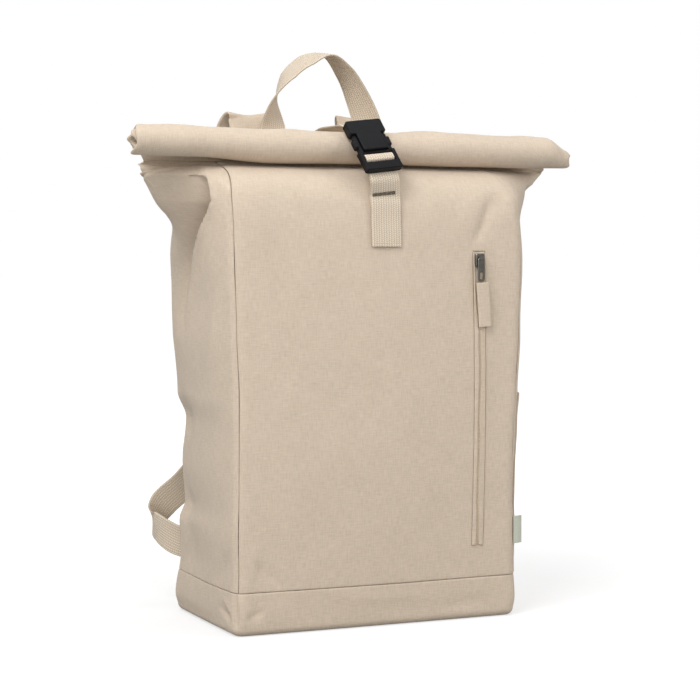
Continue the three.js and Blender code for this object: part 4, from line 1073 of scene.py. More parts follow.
# %% The buckle's own frame
BUCKLE_X = 1
BUCKLE_TOP = 29.5
BUCKLE_LENGTH = 59
BUCKLE_THICK = 9.4
BUCKLE_FOOT = BUCKLE_TOP - BUCKLE_LENGTH
BUCKLE_LEAN = math.atan2(36, 46)
BUCKLE_SPIN = math.radians(8.5)
BUCKLE_FORWARD = 9.1
BUCKLE_DROP = 14.8
BUCKLE_OFF = ROLL_REACH + LAYER_HALF + 0.9 + BUCKLE_THICK / 2
BUCKLE_FIT = 0.4
BUCKLE_HALF = BUCKLE_THICK / 2
BAR_THICK = 2.8
TOP_BAR_LOW = BUCKLE_TOP - 4.8
MALE_HEAD = BUCKLE_TOP - 36 - BUCKLE_FIT
INNER_BAR = (MALE_HEAD - 9.2, MALE_HEAD - 6.2)
LAST_BAR = (BUCKLE_FOOT, INNER_BAR[0] - (WEB_THICK + 0.7) - 1.4)
buckle_origin = np.array([
    BUCKLE_X,
    ROLL_Y - math.cos(BUCKLE_LEAN) * BUCKLE_OFF - BUCKLE_FORWARD,
    ROLL_Z + math.sin(BUCKLE_LEAN) * BUCKLE_OFF - BUCKLE_DROP])
tip_back = math.pi / 2 - BUCKLE_LEAN
buckle_axes = np.array([
    [1, 0, 0],
    [0, math.cos(tip_back), -math.sin(tip_back)],
    [0, math.sin(tip_back), math.cos(tip_back)]]) @ np.array([
        [math.cos(BUCKLE_SPIN), -math.sin(BUCKLE_SPIN), 0],
        [math.sin(BUCKLE_SPIN), math.cos(BUCKLE_SPIN), 0],
        [0, 0, 1]])


def in_buckle(y, z, x=0.0):
    """A place in the buckle's own frame, in the bag's frame."""
    return buckle_origin + buckle_axes @ np.array([x, y, z])


print("buckle leans back by", round(math.degrees(tip_back), 1), "degrees")

# %% [markdown]
# The buckle's two halves are moulded, and so are the sliders, while the zip's slider
# is cast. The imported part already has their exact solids, so copies of them are
# merged and given a small bevel, which turns the hard edges of a block into those of
# a moulded piece, and catches a thin line of light.

# %% Moulded pieces
MERGE = 2e-6
FLAT_ANGLE = math.radians(2)
SHARP_ANGLE = math.radians(35)


def moulded(node, name, width, slot):
    """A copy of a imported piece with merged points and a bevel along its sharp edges."""
    source = frame["nodes"][node]
    made = source.copy()
    made.data = source.data.copy()
    made.name = name
    made.data.name = name
    made.data.materials.clear()
    bpy.context.scene.collection.objects.link(made)
    made.parent = None
    form = bmesh.new()
    form.from_mesh(made.data)
    bmesh.ops.remove_doubles(form, verts=form.verts, dist=MERGE)
    bmesh.ops.dissolve_limit(form, angle_limit=FLAT_ANGLE, verts=form.verts, edges=form.edges)
    form.to_mesh(made.data)
    form.free()
    bevel = made.modifiers.new("bevel", "BEVEL")
    bevel.width = width * MM
    bevel.segments = 3
    bevel.limit_method = "ANGLE"
    bevel.angle_limit = SHARP_ANGLE
    bevel.harden_normals = False
    made.data.polygons.foreach_set("use_smooth", np.ones(len(made.data.polygons), bool))
    weighted = made.modifiers.new("weighted", "WEIGHTED_NORMAL")
    weighted.keep_sharp = True
    return dressed(made, node, slot)


moulded("buckle_female", "buckle_socket", 0.5, "plastic")
moulded("buckle_male", "buckle_prongs", 0.45, "plastic")
for side in ("left", "right"):
    moulded(f"strap_slider_{side}", f"slider_{side}", 0.7, "plastic")
moulded("zip_slider", "zip_pull", 0.25, "metal")
print("moulded pieces: two buckle halves, two strap sliders and the zip's slider")

# %% [markdown]
# The closure strap is sewn on the back between the handle's feet, goes over the roll
# and turns round the bar of the upper buckle half. Its places near the buckle are
# given in the buckle's frame, by how far up they are and how far out.

# %% The closure strap
BAR_BACK = -BUCKLE_HALF + 0.8
BAR_ROOM = 0.5
under = BAR_BACK - BAR_ROOM - WEB_THICK / 2
over = BAR_BACK + BAR_THICK + BAR_ROOM + WEB_THICK / 2
closure_places = [on_panel(1, -4, NECK - below, SEWN + WEB_THICK / 2) for below in (60, 50, 40)]
closure_places += [
    (-3, 70, NECK - 4), (-1, 52, ROLL_TOP - 4), (0, 26, ROLL_TOP + 5.5),
    (0.5, -10, ROLL_TOP + 6.5)]
closure_in = [
    (BUCKLE_TOP + 6.5, under - 5), (BUCKLE_TOP + 1.5, under - 1.6),
    (TOP_BAR_LOW + 1.5, under - 0.1), (TOP_BAR_LOW - 1.6, under + 0.9),
    (TOP_BAR_LOW - 2.4, (under + over) / 2), (TOP_BAR_LOW - 1.6, over - 0.9),
    (TOP_BAR_LOW + 1.5, over + 0.1), (BUCKLE_TOP - 0.5, over + 0.1),
    (BUCKLE_TOP + 2.4, over - 1.4)]
buckle_across = buckle_axes @ np.array([1, 0, 0])
closure_widths = [ACROSS] * len(closure_places) + [buckle_across] * len(closure_in)
closure_places += [in_buckle(y, z) for y, z in closure_in]
dressed(strap("closure_webbing", strap_frames(closure_places, closure_widths, 260),
              WEB_WIDTH, WEB_THICK), "closure_strap", "webbing")
print("closure strap through", len(closure_places), "places")

# %% [markdown]
# The front strap is the one whose end shows as a patch under the buckle. It lies on
# the front, rises behind the lower buckle half, turns over its inner bar, comes back
# down behind the last bar and ends between its first layer and the panel, sewn down.

# %% The front strap
PATCH_X = 8.5
PATCH_FOOT = 76
PATCH_END = 41
MALE_BACK = -3.4
first_layer = SEWN + WEB_THICK / 2
second_layer = first_layer + WEB_THICK + SEAM_GAP
behind = MALE_BACK - 0.4 - WEB_THICK / 2
back = behind - WEB_THICK - 0.5
gap_low = (LAST_BAR[1] + INNER_BAR[0]) / 2
gap_high = (INNER_BAR[1] + MALE_HEAD - 2.2) / 2


def on_front(below, lift):
    """A place on the front under the buckle, below the shoulder."""
    return on_panel(-1, PATCH_X, SHOULDER - below, lift)


front_first = [on_front(below, lift) for below, lift in (
    (PATCH_FOOT, first_layer), (PATCH_FOOT - 12, first_layer), (PATCH_FOOT - 24, first_layer),
    (PATCH_END + 5, first_layer + 0.6), (PATCH_END - 4, second_layer),
    (PATCH_END - 11, second_layer + 0.6))]
front_in = [
    (BUCKLE_FOOT - 6, behind - 1.4), (BUCKLE_FOOT + 1, behind),
    (LAST_BAR[1] - 1.8, behind - 0.1), (gap_low - 0.5, behind + 0.8), (gap_low, -1.2),
    (gap_low + 0.7, 1.7), (INNER_BAR[0] + 0.9, 2.35), (INNER_BAR[1] - 0.9, 2.35),
    (gap_high - 0.5, 1.6), (gap_high, -0.8), (gap_high - 0.3, MALE_BACK),
    (INNER_BAR[1] - 1.2, back + 0.6), (INNER_BAR[0] - 1, back), (LAST_BAR[0] + 1, back),
    (BUCKLE_FOOT - 5, back - 1.2)]
front_last = [on_front(below, lift) for below, lift in (
    (PATCH_END - 13, first_layer + 0.5), (PATCH_END - 5, first_layer), (PATCH_END, first_layer))]
front_places = front_first + [in_buckle(y, z) for y, z in front_in] + front_last
front_widths = ([ACROSS] * len(front_first) + [buckle_across] * len(front_in)
                + [ACROSS] * len(front_last))
front_path = strap_frames(front_places, front_widths, 320)
dressed(strap("front_webbing", front_path, WEB_WIDTH, WEB_THICK), "front_strap", "webbing")
print("front strap through", len(front_places), "places")

# %% [markdown]
# The zip lies in a long slot of the front panel. Two folded lips of canvas nearly
# close over it. They are one strip along the slot, whose section is a soft roll on
# each side of a narrow channel, and the channel wanders and widens at the slider.

# %% The lips of the zip
COIL_RISE = 1.0
TAPE_FACE = -0.5
SLIDER_LOW = ZIP_HIGH - 15
LIP_LOW = ZIP_LOW + SEAM_GAP
LIP_HIGH = ZIP_HIGH - SEAM_GAP
LIP_WALL = 0.9
LIP_RISE = 1.15
LIP_ROUND = 1.6
CHANNEL_X = -0.9
CHANNEL_HALF = 0.75
WIDER_AT_SLIDER = 2.3
WIDER_AT_FOOT = 0.6
WIDENING_RUN = 14


def zip_x(z):
    """Where the zip's middle is: it leans to the right with the panel."""
    return ZIP_X - SIDE_SHIFT * (1 - fullness_at(z))


def on_zip(beside, z, lift):
    """Places beside the zip's middle line, lifted off the panel's face."""
    return on_panel(-1, zip_x(z) + beside, z, lift)


def zip_lips():
    """The two folded lips as one sheet: high at both edges, a narrow channel between."""
    half = ZIP_SLOT / 2 - SEAM_GAP
    beside, z = np.meshgrid(np.linspace(-half, half, 41), np.linspace(LIP_LOW, LIP_HIGH, 300))
    centre = CHANNEL_X + 0.5 * np.sin(z * 0.031) + 0.25 * np.sin(z * 0.083 + 1)
    low_end = np.clip((z - LIP_LOW) / WIDENING_RUN, 0, 1)
    high_end = np.clip((SLIDER_LOW - 34 - z) / WIDENING_RUN, 0, 1)
    open_by = CHANNEL_HALF + WIDER_AT_SLIDER * (1 - high_end) + WIDER_AT_FOOT * (1 - low_end)
    from_middle = np.abs(beside - centre)
    lip = np.clip((from_middle - open_by) / LIP_ROUND, 0, 1)
    rise = np.sqrt(1 - (1 - lip) ** 2)
    crown = 1 - 0.35 * np.clip((from_middle - open_by) / half, 0, 1) ** 2
    edge = np.clip((half - np.abs(beside)) / 1.1, 0, 1)
    lift = TAPE_FACE + 0.15 + LIP_RISE * rise * crown * np.sqrt(edge * (2 - edge))
    lift = lift + 0.12 * np.sin(z * 0.21) * rise
    return cloth("zip_lips", on_zip(beside, z, lift), LIP_WALL, uv=np.stack([beside, z], -1))


dressed(zip_lips(), "zip_tape", "canvas")
print("lips from", LIP_LOW, "to", LIP_HIGH, "mm")

# %% [markdown]
# Between the lips runs a row of teeth. A tooth is a small block that narrows towards
# its face, and alternate ones stand left and right. From the slider hangs a puller,
# a short tab of folded canvas.

# %% The teeth and the puller
TEETH_PITCH = 1.9
TOOTH_REACH = 1.35
tooth_heights = np.arange(ZIP_LOW + 3, SLIDER_LOW - 0.6, TEETH_PITCH)


def zip_teeth():
    """Rows of small blocks: eight corners each, alternate ones set left and right."""
    count = len(tooth_heights)
    side = np.where(np.arange(count) % 2 == 0, -1, 1)
    corners = np.array([[x, y, z] for x in (-1, 1) for y in (0, 1) for z in (-1, 1)], float)
    points = np.zeros((count, 8, 3))
    for k, (x, y, z) in enumerate(corners):
        beside = side * 0.55 + x * TOOTH_REACH * 0.9 * (1 if y < 0.5 else 0.8)
        level = TAPE_FACE + 0.32 + y * COIL_RISE
        heights = tooth_heights + z * 0.62 * (1 if y < 0.5 else 0.7)
        points[:, k] = on_zip(beside, heights, np.full(count, level))
    quads = np.array([[0, 1, 3, 2], [4, 6, 7, 5], [0, 4, 5, 1], [2, 3, 7, 6],
                      [0, 2, 6, 4], [1, 5, 7, 3]])
    faces = (quads[None] + np.arange(count)[:, None, None] * 8).reshape(-1, 4)
    uv = np.zeros((count * 8, 2))
    return mesh_object("zip_teeth", points.reshape(-1, 3), faces.tolist(), uv, smooth=False)


dressed(zip_teeth(), "zip_coil", "webbing")

PULLER_WIDTH = 13
PULLER_LENGTH = 42
PULLER_THICK = 2.4
PULLER_LIFT = (4.6, 3.1)
PULLER_STEPS = 4
puller_top = SLIDER_LOW - 14 - SEAM_GAP - 0.6
puller_places = []
for step in range(PULLER_STEPS + 1):
    z = puller_top - PULLER_LENGTH * step / PULLER_STEPS
    lift = PULLER_LIFT[0] + (PULLER_LIFT[1] - PULLER_LIFT[0]) * step / PULLER_STEPS
    puller_places.append(on_zip(1 + 0.8 * step, z, lift))
puller_path = strap_frames(puller_places, [ACROSS] * len(puller_places), 60)
dressed(strap("puller_cloth", puller_path, PULLER_WIDTH, PULLER_THICK, 0.35),
        "puller_tab", "canvas")
print("zip with", len(tooth_heights), "teeth")

# %% [markdown]
# A flat pocket is sewn on the right side, open at the top. Its cloth follows the
# side and stands off a little in the middle of its mouth, where a hand would go in.
# A short ribbon label sticks out of the right front seam. It is the same flattened
# band as a strap, standing on its edge.

# %% The side pocket and the label
POCKET_TOP = 215
POCKET_MOUTH = 9
POCKET_REACH = 0.9
LABEL_HEIGHT = 27
LABEL_BASE = 70
LABEL_REACH = 10
LABEL_THICK = 1.2


def side_pocket():
    """The side's own surface, lifted by a parabola that grows towards the mouth."""
    t, share = np.meshgrid(np.linspace(-POCKET_REACH, POCKET_REACH, 90), np.linspace(0, 1, 110))
    low = BAND_HEIGHT + 1
    z = low + (POCKET_TOP - low) * share
    step_t = side_point(1, t + 0.01, z) - side_point(1, t - 0.01, z)
    step_z = side_point(1, t, z + 1) - side_point(1, t, z - 1)
    normal = unit(np.cross(step_t, step_z))
    edge = 1 - (t / POCKET_REACH) ** 2
    lift = SEAM_GAP + 0.5 + POCKET_MOUTH * edge * share ** 2 + WALL
    wave = ripple(t * HALF_DEPTH, z, 21, 80, 0.5) * np.sqrt(np.clip(edge * 4, 0, 1))
    seam = np.minimum(1 - np.abs(t) / POCKET_REACH, 1) * POCKET_REACH * HALF_DEPTH
    lift = lift + np.maximum(wave, -0.4) * np.clip(share * 4, 0, 1)
    lift = lift - 0.8 * seam_sink(seam) / SEAM_SINK
    return cloth("pocket_cloth", side_point(1, t, z) + normal * lift[..., None], WALL)


dressed(side_pocket(), "side_pocket", "canvas")
label_z = LABEL_BASE + LABEL_HEIGHT / 2
label_start = side_point(1, np.array(-1.0), np.array(label_z)) + [0.9, -0.9, 0]
label_end = label_start + [LABEL_REACH, 3.4, 0]
label_middle = (label_start + label_end) / 2 + [0.2, -0.6, 0]
label_path = strap_frames([label_start, label_middle, label_end], [(0, 0, 1.0)] * 3, 24)
dressed(strap("label_ribbon", label_path, LABEL_HEIGHT, LABEL_THICK), "side_label", "tag")
print("pocket up to", POCKET_TOP, "mm, and a label", LABEL_HEIGHT, "mm high")

# %% [markdown]
# Stitches hold everything together, and they show as rows of short threads. Each
# stitch is a small spindle with a few sides, laid along the seam's line, with its
# ends sunk in the cloth. All the stitches of a seam are one mesh, because there are
# hundreds of them, and they are worked out together as arrays.

# %% A row of stitches
STITCH_SIDES = 5
STITCH_RINGS = ((-0.36, 0.25, 0.5), (-0.2, 1.0, 0.0), (0.2, 1.0, 0.0), (0.36, 0.25, 0.5))


def stitch_row(lines, pitch, thick, name):
    """Spindles along lines of points: at each pitch a stitch 0.72 of it long. A ring of
    the spindle is placed by its share of the pitch, its size and how deep it is sunk."""
    points = []
    angles = np.arange(STITCH_SIDES) * 2 * np.pi / STITCH_SIDES
    for line, face in lines:
        along = lengths(line[:, None], 0)[:, 0]
        spots = np.arange(pitch / 2, along[-1], pitch)
        rings = []
        middle = np.stack([np.interp(spots, along, line[:, k]) for k in range(3)], -1)
        ahead = np.stack([np.interp(spots + 0.3, along, line[:, k]) for k in range(3)], -1)
        normal = np.stack([np.interp(spots, along, face[:, k]) for k in range(3)], -1)
        run = ahead - middle
        length = np.linalg.norm(run, axis=1, keepdims=True)
        keep = length[:, 0] > 1e-6
        middle, run, normal = middle[keep], (run / np.maximum(length, 1e-9))[keep], normal[keep]
        side = unit(np.cross(run, normal))
        normal = np.cross(side, run)
        for shift, size, sink in STITCH_RINGS:
            centre = middle + run * shift * pitch - normal * sink * thick * 0.5
            rings.append(centre[:, None]
                         + side[:, None] * np.cos(angles)[None, :, None] * thick / 2 * size
                         + normal[:, None] * np.sin(angles)[None, :, None] * thick / 2 * size)
        points.append(np.stack(rings, 1))
    points = np.concatenate(points)
    number = numbered(len(STITCH_RINGS), STITCH_SIDES, closed=True)
    quads = quads_of(number).reshape(-1, 4)
    shift = np.arange(len(points))[:, None, None] * len(STITCH_RINGS) * STITCH_SIDES
    faces = (quads[None] + shift).reshape(-1, 4).tolist()
    faces += (number[0, :-1][::-1][None] + shift[:, 0]).tolist()
    faces += (number[-1, :-1][None] + shift[:, 0]).tolist()
    sewn = mesh_object(name, points.reshape(-1, 3), faces)
    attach(sewn, "root")
    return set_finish(sewn, "webbing")


def line_on_zip(beside, heights, lift):
    """A stitch line beside the zip with the panel's normals."""
    at = on_zip(beside, heights, np.full(len(heights), lift))
    above = on_zip(beside, heights, np.full(len(heights), lift + 1.0))
    return at, above - at


def line_on_front(x, z, lift):
    """A stitch line on the front panel with its normals."""
    x = np.asarray(x, float) * np.ones(len(z))
    at = on_panel(-1, x, z, np.full(len(z), lift))
    above = on_panel(-1, x, z, np.full(len(z), lift + 1.0))
    return at, above - at


print("stitch helpers ready:", STITCH_SIDES, "sides to a stitch")

# %% [markdown]
# The zip is sewn in by a row down each side and rows across both ends. On the left a
# double row holds the collar to the side, and it shows as a slanting line under the
# roll. It is worked out from the side's own form and creases, so that it follows them.

# %% Stitches of the zip and the collar
SEAM_PITCH = 2.6
ROW_BESIDE = 1.1
ROW_BEYOND = 1.5
SECOND_ROW = 4
COLLAR_ROWS = 3.2
zip_side = ZIP_SLOT / 2 + ROW_BESIDE
zip_heights = np.linspace(ZIP_LOW - ROW_BEYOND, ZIP_HIGH + ROW_BEYOND, 240)
zip_lines = [line_on_zip(np.full(240, side * zip_side), zip_heights, 0.05) for side in (-1, 1)]
for z in (ZIP_LOW - ROW_BEYOND, ZIP_LOW - SECOND_ROW, ZIP_HIGH + ROW_BEYOND):
    beside = np.linspace(-zip_side, zip_side, 20)
    zip_lines.append(line_on_zip(beside, np.full(20, z), 0.05))
stitch_row(zip_lines, SEAM_PITCH, 0.55, "stitches_zip")

collar_lines = []
spread = np.linspace(-0.62, 0.5, 120)
for below in (0, COLLAR_ROWS):
    heights = COLLAR_SEAM - 8.5 - below - 14 * spread
    heights = np.minimum(heights, COLLAR_SEAM - 2)
    ahead = side_point(-1, spread + 0.01, heights) - side_point(-1, spread - 0.01, heights)
    above = side_point(-1, spread, heights + 0.5) - side_point(-1, spread, heights - 0.5)
    outward = unit(np.cross(above, ahead))
    lift = side_lift(-1, spread, heights)[:, None] + 0.1
    collar_lines.append((side_point(-1, spread, heights) + outward * lift, outward))
stitch_row(collar_lines, SEAM_PITCH, 0.6, "stitches_collar")
print("stitched the zip and the collar with", len(zip_lines + collar_lines), "rows")

# %% [markdown]
# The strap's end is sewn on the front as a patch, round its edge. Where its layers
# come together, a short dense bar of darker thread holds the pull of the buckle.

# %% Stitches of the patch and its bar
BAR_HEIGHT = 406
BOX_FROM = 3.5
BOX_TO = 27
BOX_BESIDE = 2.4
patch_lines = []
patch_half = WEB_WIDTH / 2 - BOX_BESIDE
patch_lift = SEWN + WEB_THICK + 0.05
for below in (PATCH_FOOT - BOX_FROM, PATCH_FOOT - BOX_TO):
    spread = np.linspace(-patch_half, patch_half, 20) + PATCH_X
    patch_lines.append(line_on_front(spread, np.full(20, SHOULDER - below), patch_lift))
patch_z = SHOULDER - PATCH_FOOT + np.linspace(BOX_FROM, BOX_TO, 20)
for side in (-1, 1):
    patch_lines.append(line_on_front(PATCH_X + side * patch_half, patch_z, patch_lift))
stitch_row(patch_lines, 2.3, 0.6, "stitches_patch")
path, across, face = front_path
step = int(np.abs(path[:90, 2] - BAR_HEIGHT).argmin())
spread = np.linspace(-patch_half - 1, patch_half - 3, 20)[:, None]
bar_lines = []
for row in (0, 1, 2):
    middle = path[step + row] - face[step + row] * (WEB_THICK / 2 + 0.1)
    bar_lines.append((middle + across[step + row] * spread, -face[step + row] * np.ones((20, 1))))
stitch_row(bar_lines, 1.3, 1.5, "stitches_bar")
print("stitched the patch with", len(patch_lines), "rows and its bar with", len(bar_lines))

# %% [markdown]
# A finish that several materials share is a node group. Its nodes do small sums, so
# a few helpers come first: they add a node, feed it and give back its output, and
# the sums can then be written one inside the other.

# %% Helpers for node groups
def new_group(name, inputs, outputs):
    """An empty shader node group with named number inputs and outputs."""
    group = bpy.data.node_groups.new(name, "ShaderNodeTree")
    for socket, value in inputs.items():
        made = group.interface.new_socket(socket, in_out="INPUT", socket_type="NodeSocketFloat")
        made.default_value = value
    for socket in outputs:
        group.interface.new_socket(socket, in_out="OUTPUT", socket_type="NodeSocketFloat")
    return group, group.nodes.new("NodeGroupInput"), group.nodes.new("NodeGroupOutput")


def math_node(tree, operation, *values, clamp=False):
    """A Math node whose inputs are sockets or plain numbers; gives its output socket."""
    node = tree.nodes.new("ShaderNodeMath")
    node.operation = operation
    node.use_clamp = clamp
    for k, value in enumerate(values):
        if isinstance(value, (int, float)):
            node.inputs[k].default_value = value
        else:
            tree.links.new(value, node.inputs[k])
    return node.outputs[0]


def plus(tree, first, second):
    """The sum of two sockets or numbers."""
    return math_node(tree, "ADD", first, second)


def times(tree, first, second, clamp=False):
    """The product of two sockets or numbers, kept between 0 and 1 if clamped."""
    return math_node(tree, "MULTIPLY", first, second, clamp=clamp)


def less(tree, first, second, clamp=False):
    """The first less the second, kept between 0 and 1 if clamped."""
    return math_node(tree, "SUBTRACT", first, second, clamp=clamp)


def noise(tree, vector, scale, detail=2.0):
    """A Noise Texture's value on a vector."""
    node = tree.nodes.new("ShaderNodeTexNoise")
    node.inputs["Scale"].default_value = scale
    node.inputs["Detail"].default_value = detail
    tree.links.new(vector, node.inputs["Vector"])
    return node.outputs["Fac"]


print("sum helpers ready")

# %% [markdown]
# Threads run along the warp and the weft. Noise that is stretched along one of them
# turns into streaks, and the two numbers of the cloth map tell how far along each
# thread a place is. A bead is the rounded top of one thread between two crossings.

# %% Streaks, the cloth map and beads
def stretched(tree, vector, size):
    """The vector with each axis multiplied, so that a texture on it becomes streaks."""
    node = tree.nodes.new("ShaderNodeVectorMath")
    node.operation = "MULTIPLY"
    node.inputs[1].default_value = size
    tree.links.new(vector, node.inputs[0])
    return node.outputs[0]


def cloth_vector(tree):
    """The cloth map's two lengths in metres, as a vector and as separate numbers."""
    uv = tree.nodes.new("ShaderNodeUVMap")
    uv.uv_map = "cloth"
    split = tree.nodes.new("ShaderNodeSeparateXYZ")
    tree.links.new(uv.outputs["UV"], split.inputs[0])
    return uv.outputs["UV"], split.outputs["X"], split.outputs["Y"]


def bead(tree, share):
    """A rounded bead over a share from 0 to 1: four times it times the rest."""
    rest = less(tree, 1.0, share)
    return times(tree, times(tree, share, rest), 4.0)


print("weave helpers ready")

# %% [markdown]
# Plain canvas is threads that pass over and under each other. Close to, it is a grid
# of small beads; from afar only uneven threads show. A node group makes both from
# the cloth's own map: beads at the thread's pitch, and thin streaks along warp and
# weft for thicker and thinner threads. It gives a height and a shade.

# %% The weave of the canvas
THREADS_PER_METRE = 900.0
ALONG_WARP = (1.0, 0.12, 1)
ALONG_WEFT = (0.12, 1.0, 1)
SLUB = (0.2, 1.0, 1)


def plain_weave():
    """Beads of a checkerboard, long along warp or weft in turn, and streaks of threads."""
    group, given, result = new_group("plain_weave", {"Pitch": 0.0013}, ["Height", "Shade"])
    pitch = given.outputs["Pitch"]
    vector, u, v = cloth_vector(group)
    wobble = noise(group, vector, 90.0)
    wobble = times(group, less(group, wobble, 0.5), 0.6)
    across = plus(group, math_node(group, "DIVIDE", u, pitch), wobble)
    up = plus(group, math_node(group, "DIVIDE", v, pitch), wobble)
    part_u = math_node(group, "FRACT", across)
    part_v = math_node(group, "FRACT", up)
    cell = plus(group, math_node(group, "FLOOR", across), math_node(group, "FLOOR", up))
    odd = math_node(group, "FLOORED_MODULO", cell, 2.0)
    bead_u = bead(group, part_u)
    bead_v = bead(group, part_v)
    warp = times(group, bead_u, math_node(group, "POWER", bead_v, 0.4))
    weft = times(group, bead_v, math_node(group, "POWER", bead_u, 0.4))
    even = less(group, 1.0, odd)
    beads = plus(group, times(group, warp, odd), times(group, weft, even))
    warp_streak = noise(group, stretched(group, vector, ALONG_WARP), THREADS_PER_METRE, 3.0)
    weft_streak = noise(group, stretched(group, vector, ALONG_WEFT), THREADS_PER_METRE, 3.0)
    slub = noise(group, stretched(group, vector, SLUB), 260.0, 3.0)
    streaks = plus(group, warp_streak, weft_streak)
    height = plus(group, times(group, beads, 0.55), times(group, streaks, 0.9))
    height = plus(group, height, times(group, slub, 0.5))
    shade = plus(group, times(group, beads, 0.3), times(group, streaks, 0.75))
    blotch = noise(group, vector, 45.0, 3.0)
    shade = plus(group, shade, times(group, blotch, 0.25))
    shade = less(group, shade, 0.50, clamp=True)
    group.links.new(height, result.inputs["Height"])
    group.links.new(shade, result.inputs["Shade"])
    return group


weave_group = plain_weave()
print("canvas weave:", len(weave_group.nodes), "nodes")

# %% [markdown]
# The webbing is a herringbone: narrow columns of slanting threads, whose slant turns
# over from one column to the next, between two plain edges. The same beads do for
# it, with the slant added to how far along they are.

# %% The weave of the webbing
SELVEDGE_FROM = 0.0128
FUZZ = (1, 0.4, 1)


def herringbone():
    """Slanted beads in columns whose slant turns over from one column to the next."""
    group, given, result = new_group("herringbone", {"Pitch": 0.0022, "Slant": 0.8},
                                     ["Height", "Shade"])
    pitch = given.outputs["Pitch"]
    vector, u, v = cloth_vector(group)
    across = math_node(group, "DIVIDE", u, pitch)
    part_u = math_node(group, "FRACT", across)
    odd = math_node(group, "FLOORED_MODULO", math_node(group, "FLOOR", across), 2.0)
    turn = less(group, times(group, odd, 2.0), 1.0)
    slant = times(group, times(group, part_u, turn), given.outputs["Slant"])
    up = math_node(group, "DIVIDE", v, times(group, pitch, 0.8))
    part_v = math_node(group, "FRACT", plus(group, up, slant))
    beads = times(group, math_node(group, "POWER", bead(group, part_u), 0.5),
                  math_node(group, "POWER", bead(group, part_v), 0.6))
    fuzz = noise(group, stretched(group, vector, FUZZ), 1500.0, 2.0)
    edge = less(group, math_node(group, "ABSOLUTE", u), SELVEDGE_FROM)
    selvedge = times(group, edge, 900.0, clamp=True)
    calm = less(group, 1.0, times(group, selvedge, 0.6))
    height = plus(group, times(group, beads, calm), times(group, fuzz, 0.3))
    shade = plus(group, times(group, beads, 0.75), times(group, fuzz, 0.35))
    shade = less(group, shade, 0.05, clamp=True)
    group.links.new(height, result.inputs["Height"])
    group.links.new(shade, result.inputs["Shade"])
    return group


herringbone_group = herringbone()
print("node groups:", [group.name for group in bpy.data.node_groups])

# %% [markdown]
# Each cloth is one Principled material. Its two colours are the shaded gap between
# threads and the lit thread, mixed by the weave's shade. Cotton is matt with a
# little sheen. The relief is a fraction of a millimetre, as threads are.

# %% Cloth finishes
def shader_of(name, roughness, bump_strength, bump_distance, **sockets):
    """A material with a Principled shader and a Bump node that feeds its normal."""
    material = bpy.data.materials.new(name)
    material.use_nodes = True
    tree = material.node_tree
    shader = tree.nodes["Principled BSDF"]
    shader.inputs["Roughness"].default_value = roughness
    for socket, value in sockets.items():
        shader.inputs[socket].default_value = value
    relief = tree.nodes.new("ShaderNodeBump")
    relief.inputs["Strength"].default_value = bump_strength
    relief.inputs["Distance"].default_value = bump_distance
    tree.links.new(relief.outputs[0], shader.inputs["Normal"])
    return material, tree, shader, relief


def two_colours(tree, share, dark, light, target):
    """Mixes two colours by a share and feeds them to a socket."""
    mix = tree.nodes.new("ShaderNodeMix")
    mix.data_type = "RGBA"
    mix.inputs[6].default_value = (*dark, 1)
    mix.inputs[7].default_value = (*light, 1)
    tree.links.new(share, mix.inputs[0])
    tree.links.new(mix.outputs[2], target)


def woven(name, group, dark, light, relief_size, pitch):
    """Cloth from a weave group: its shade mixes the colours, its height feeds the bump."""
    look = {"Sheen Weight": 0.15}
    material, tree, shader, relief = shader_of(name, 0.9, 0.7, relief_size, **look)
    weave = tree.nodes.new("ShaderNodeGroup")
    weave.node_tree = group
    weave.inputs["Pitch"].default_value = pitch
    two_colours(tree, weave.outputs["Shade"], dark, light, shader.inputs["Base Color"])
    tree.links.new(weave.outputs["Height"], relief.inputs["Height"])
    return material


canvas = woven("canvas", weave_group, (0.48, 0.39, 0.295), (0.72, 0.60, 0.475), 0.00022, 0.0009)
webbing = woven("webbing", herringbone_group, (0.31, 0.25, 0.18), (0.86, 0.735, 0.585),
                0.0004, 0.0025)
tag = woven("tag", weave_group, (0.45, 0.47, 0.38), (0.62, 0.64, 0.54), 0.0001, 0.0006)
print("cloth finishes:", canvas.name, webbing.name, tag.name)

# %% [markdown]
# The buckle is smooth moulded plastic, nearly black. The zip's slider is plated metal
# that has been handled, and the threads are cotton, one pale and one dark. None has
# a weave, so each takes its grain and its patches from noise on its own coordinates.

# %% Plastic, metal and thread
def grained(name, look, grain, patches, dark, light):
    """A finish with fine grain in its relief and slow patches between two colours. Look
    holds its roughness, its relief's strength and size in metres, and its other sockets."""
    material, tree, shader, relief = shader_of(name, *look[:-1], **look[-1])
    for scale, use in ((grain, "relief"), (patches, "colour")):
        place = tree.nodes.new("ShaderNodeTexCoord")
        value = noise(tree, place.outputs["Object"], scale, 3.0)
        if use == "relief":
            tree.links.new(value, relief.inputs["Height"])
        else:
            two_colours(tree, value, dark, light, shader.inputs["Base Color"])
    return material


plastic = grained("plastic", (0.40, 0.25, 0.00008, {"Specular IOR Level": 0.15}), 900.0, 60.0,
                  (0.004, 0.004, 0.005), (0.008, 0.008, 0.0095))
metal = grained("metal", (0.34, 0.3, 0.00005, {"Metallic": 1.0}), 1500.0, 300.0,
                (0.09, 0.085, 0.075), (0.26, 0.245, 0.22))
thread = grained("thread", (0.75, 0.4, 0.0001, {"Sheen Weight": 0.2}), 4000.0, 500.0,
                 (0.50, 0.40, 0.28), (0.70, 0.58, 0.43))
dark_thread = grained("dark_thread", (0.8, 0.4, 0.0001, {"Sheen Weight": 0.1}), 4000.0, 900.0,
                      (0.035, 0.028, 0.014), (0.14, 0.11, 0.065))
print("small finishes:", plastic.name, metal.name, thread.name, dark_thread.name)

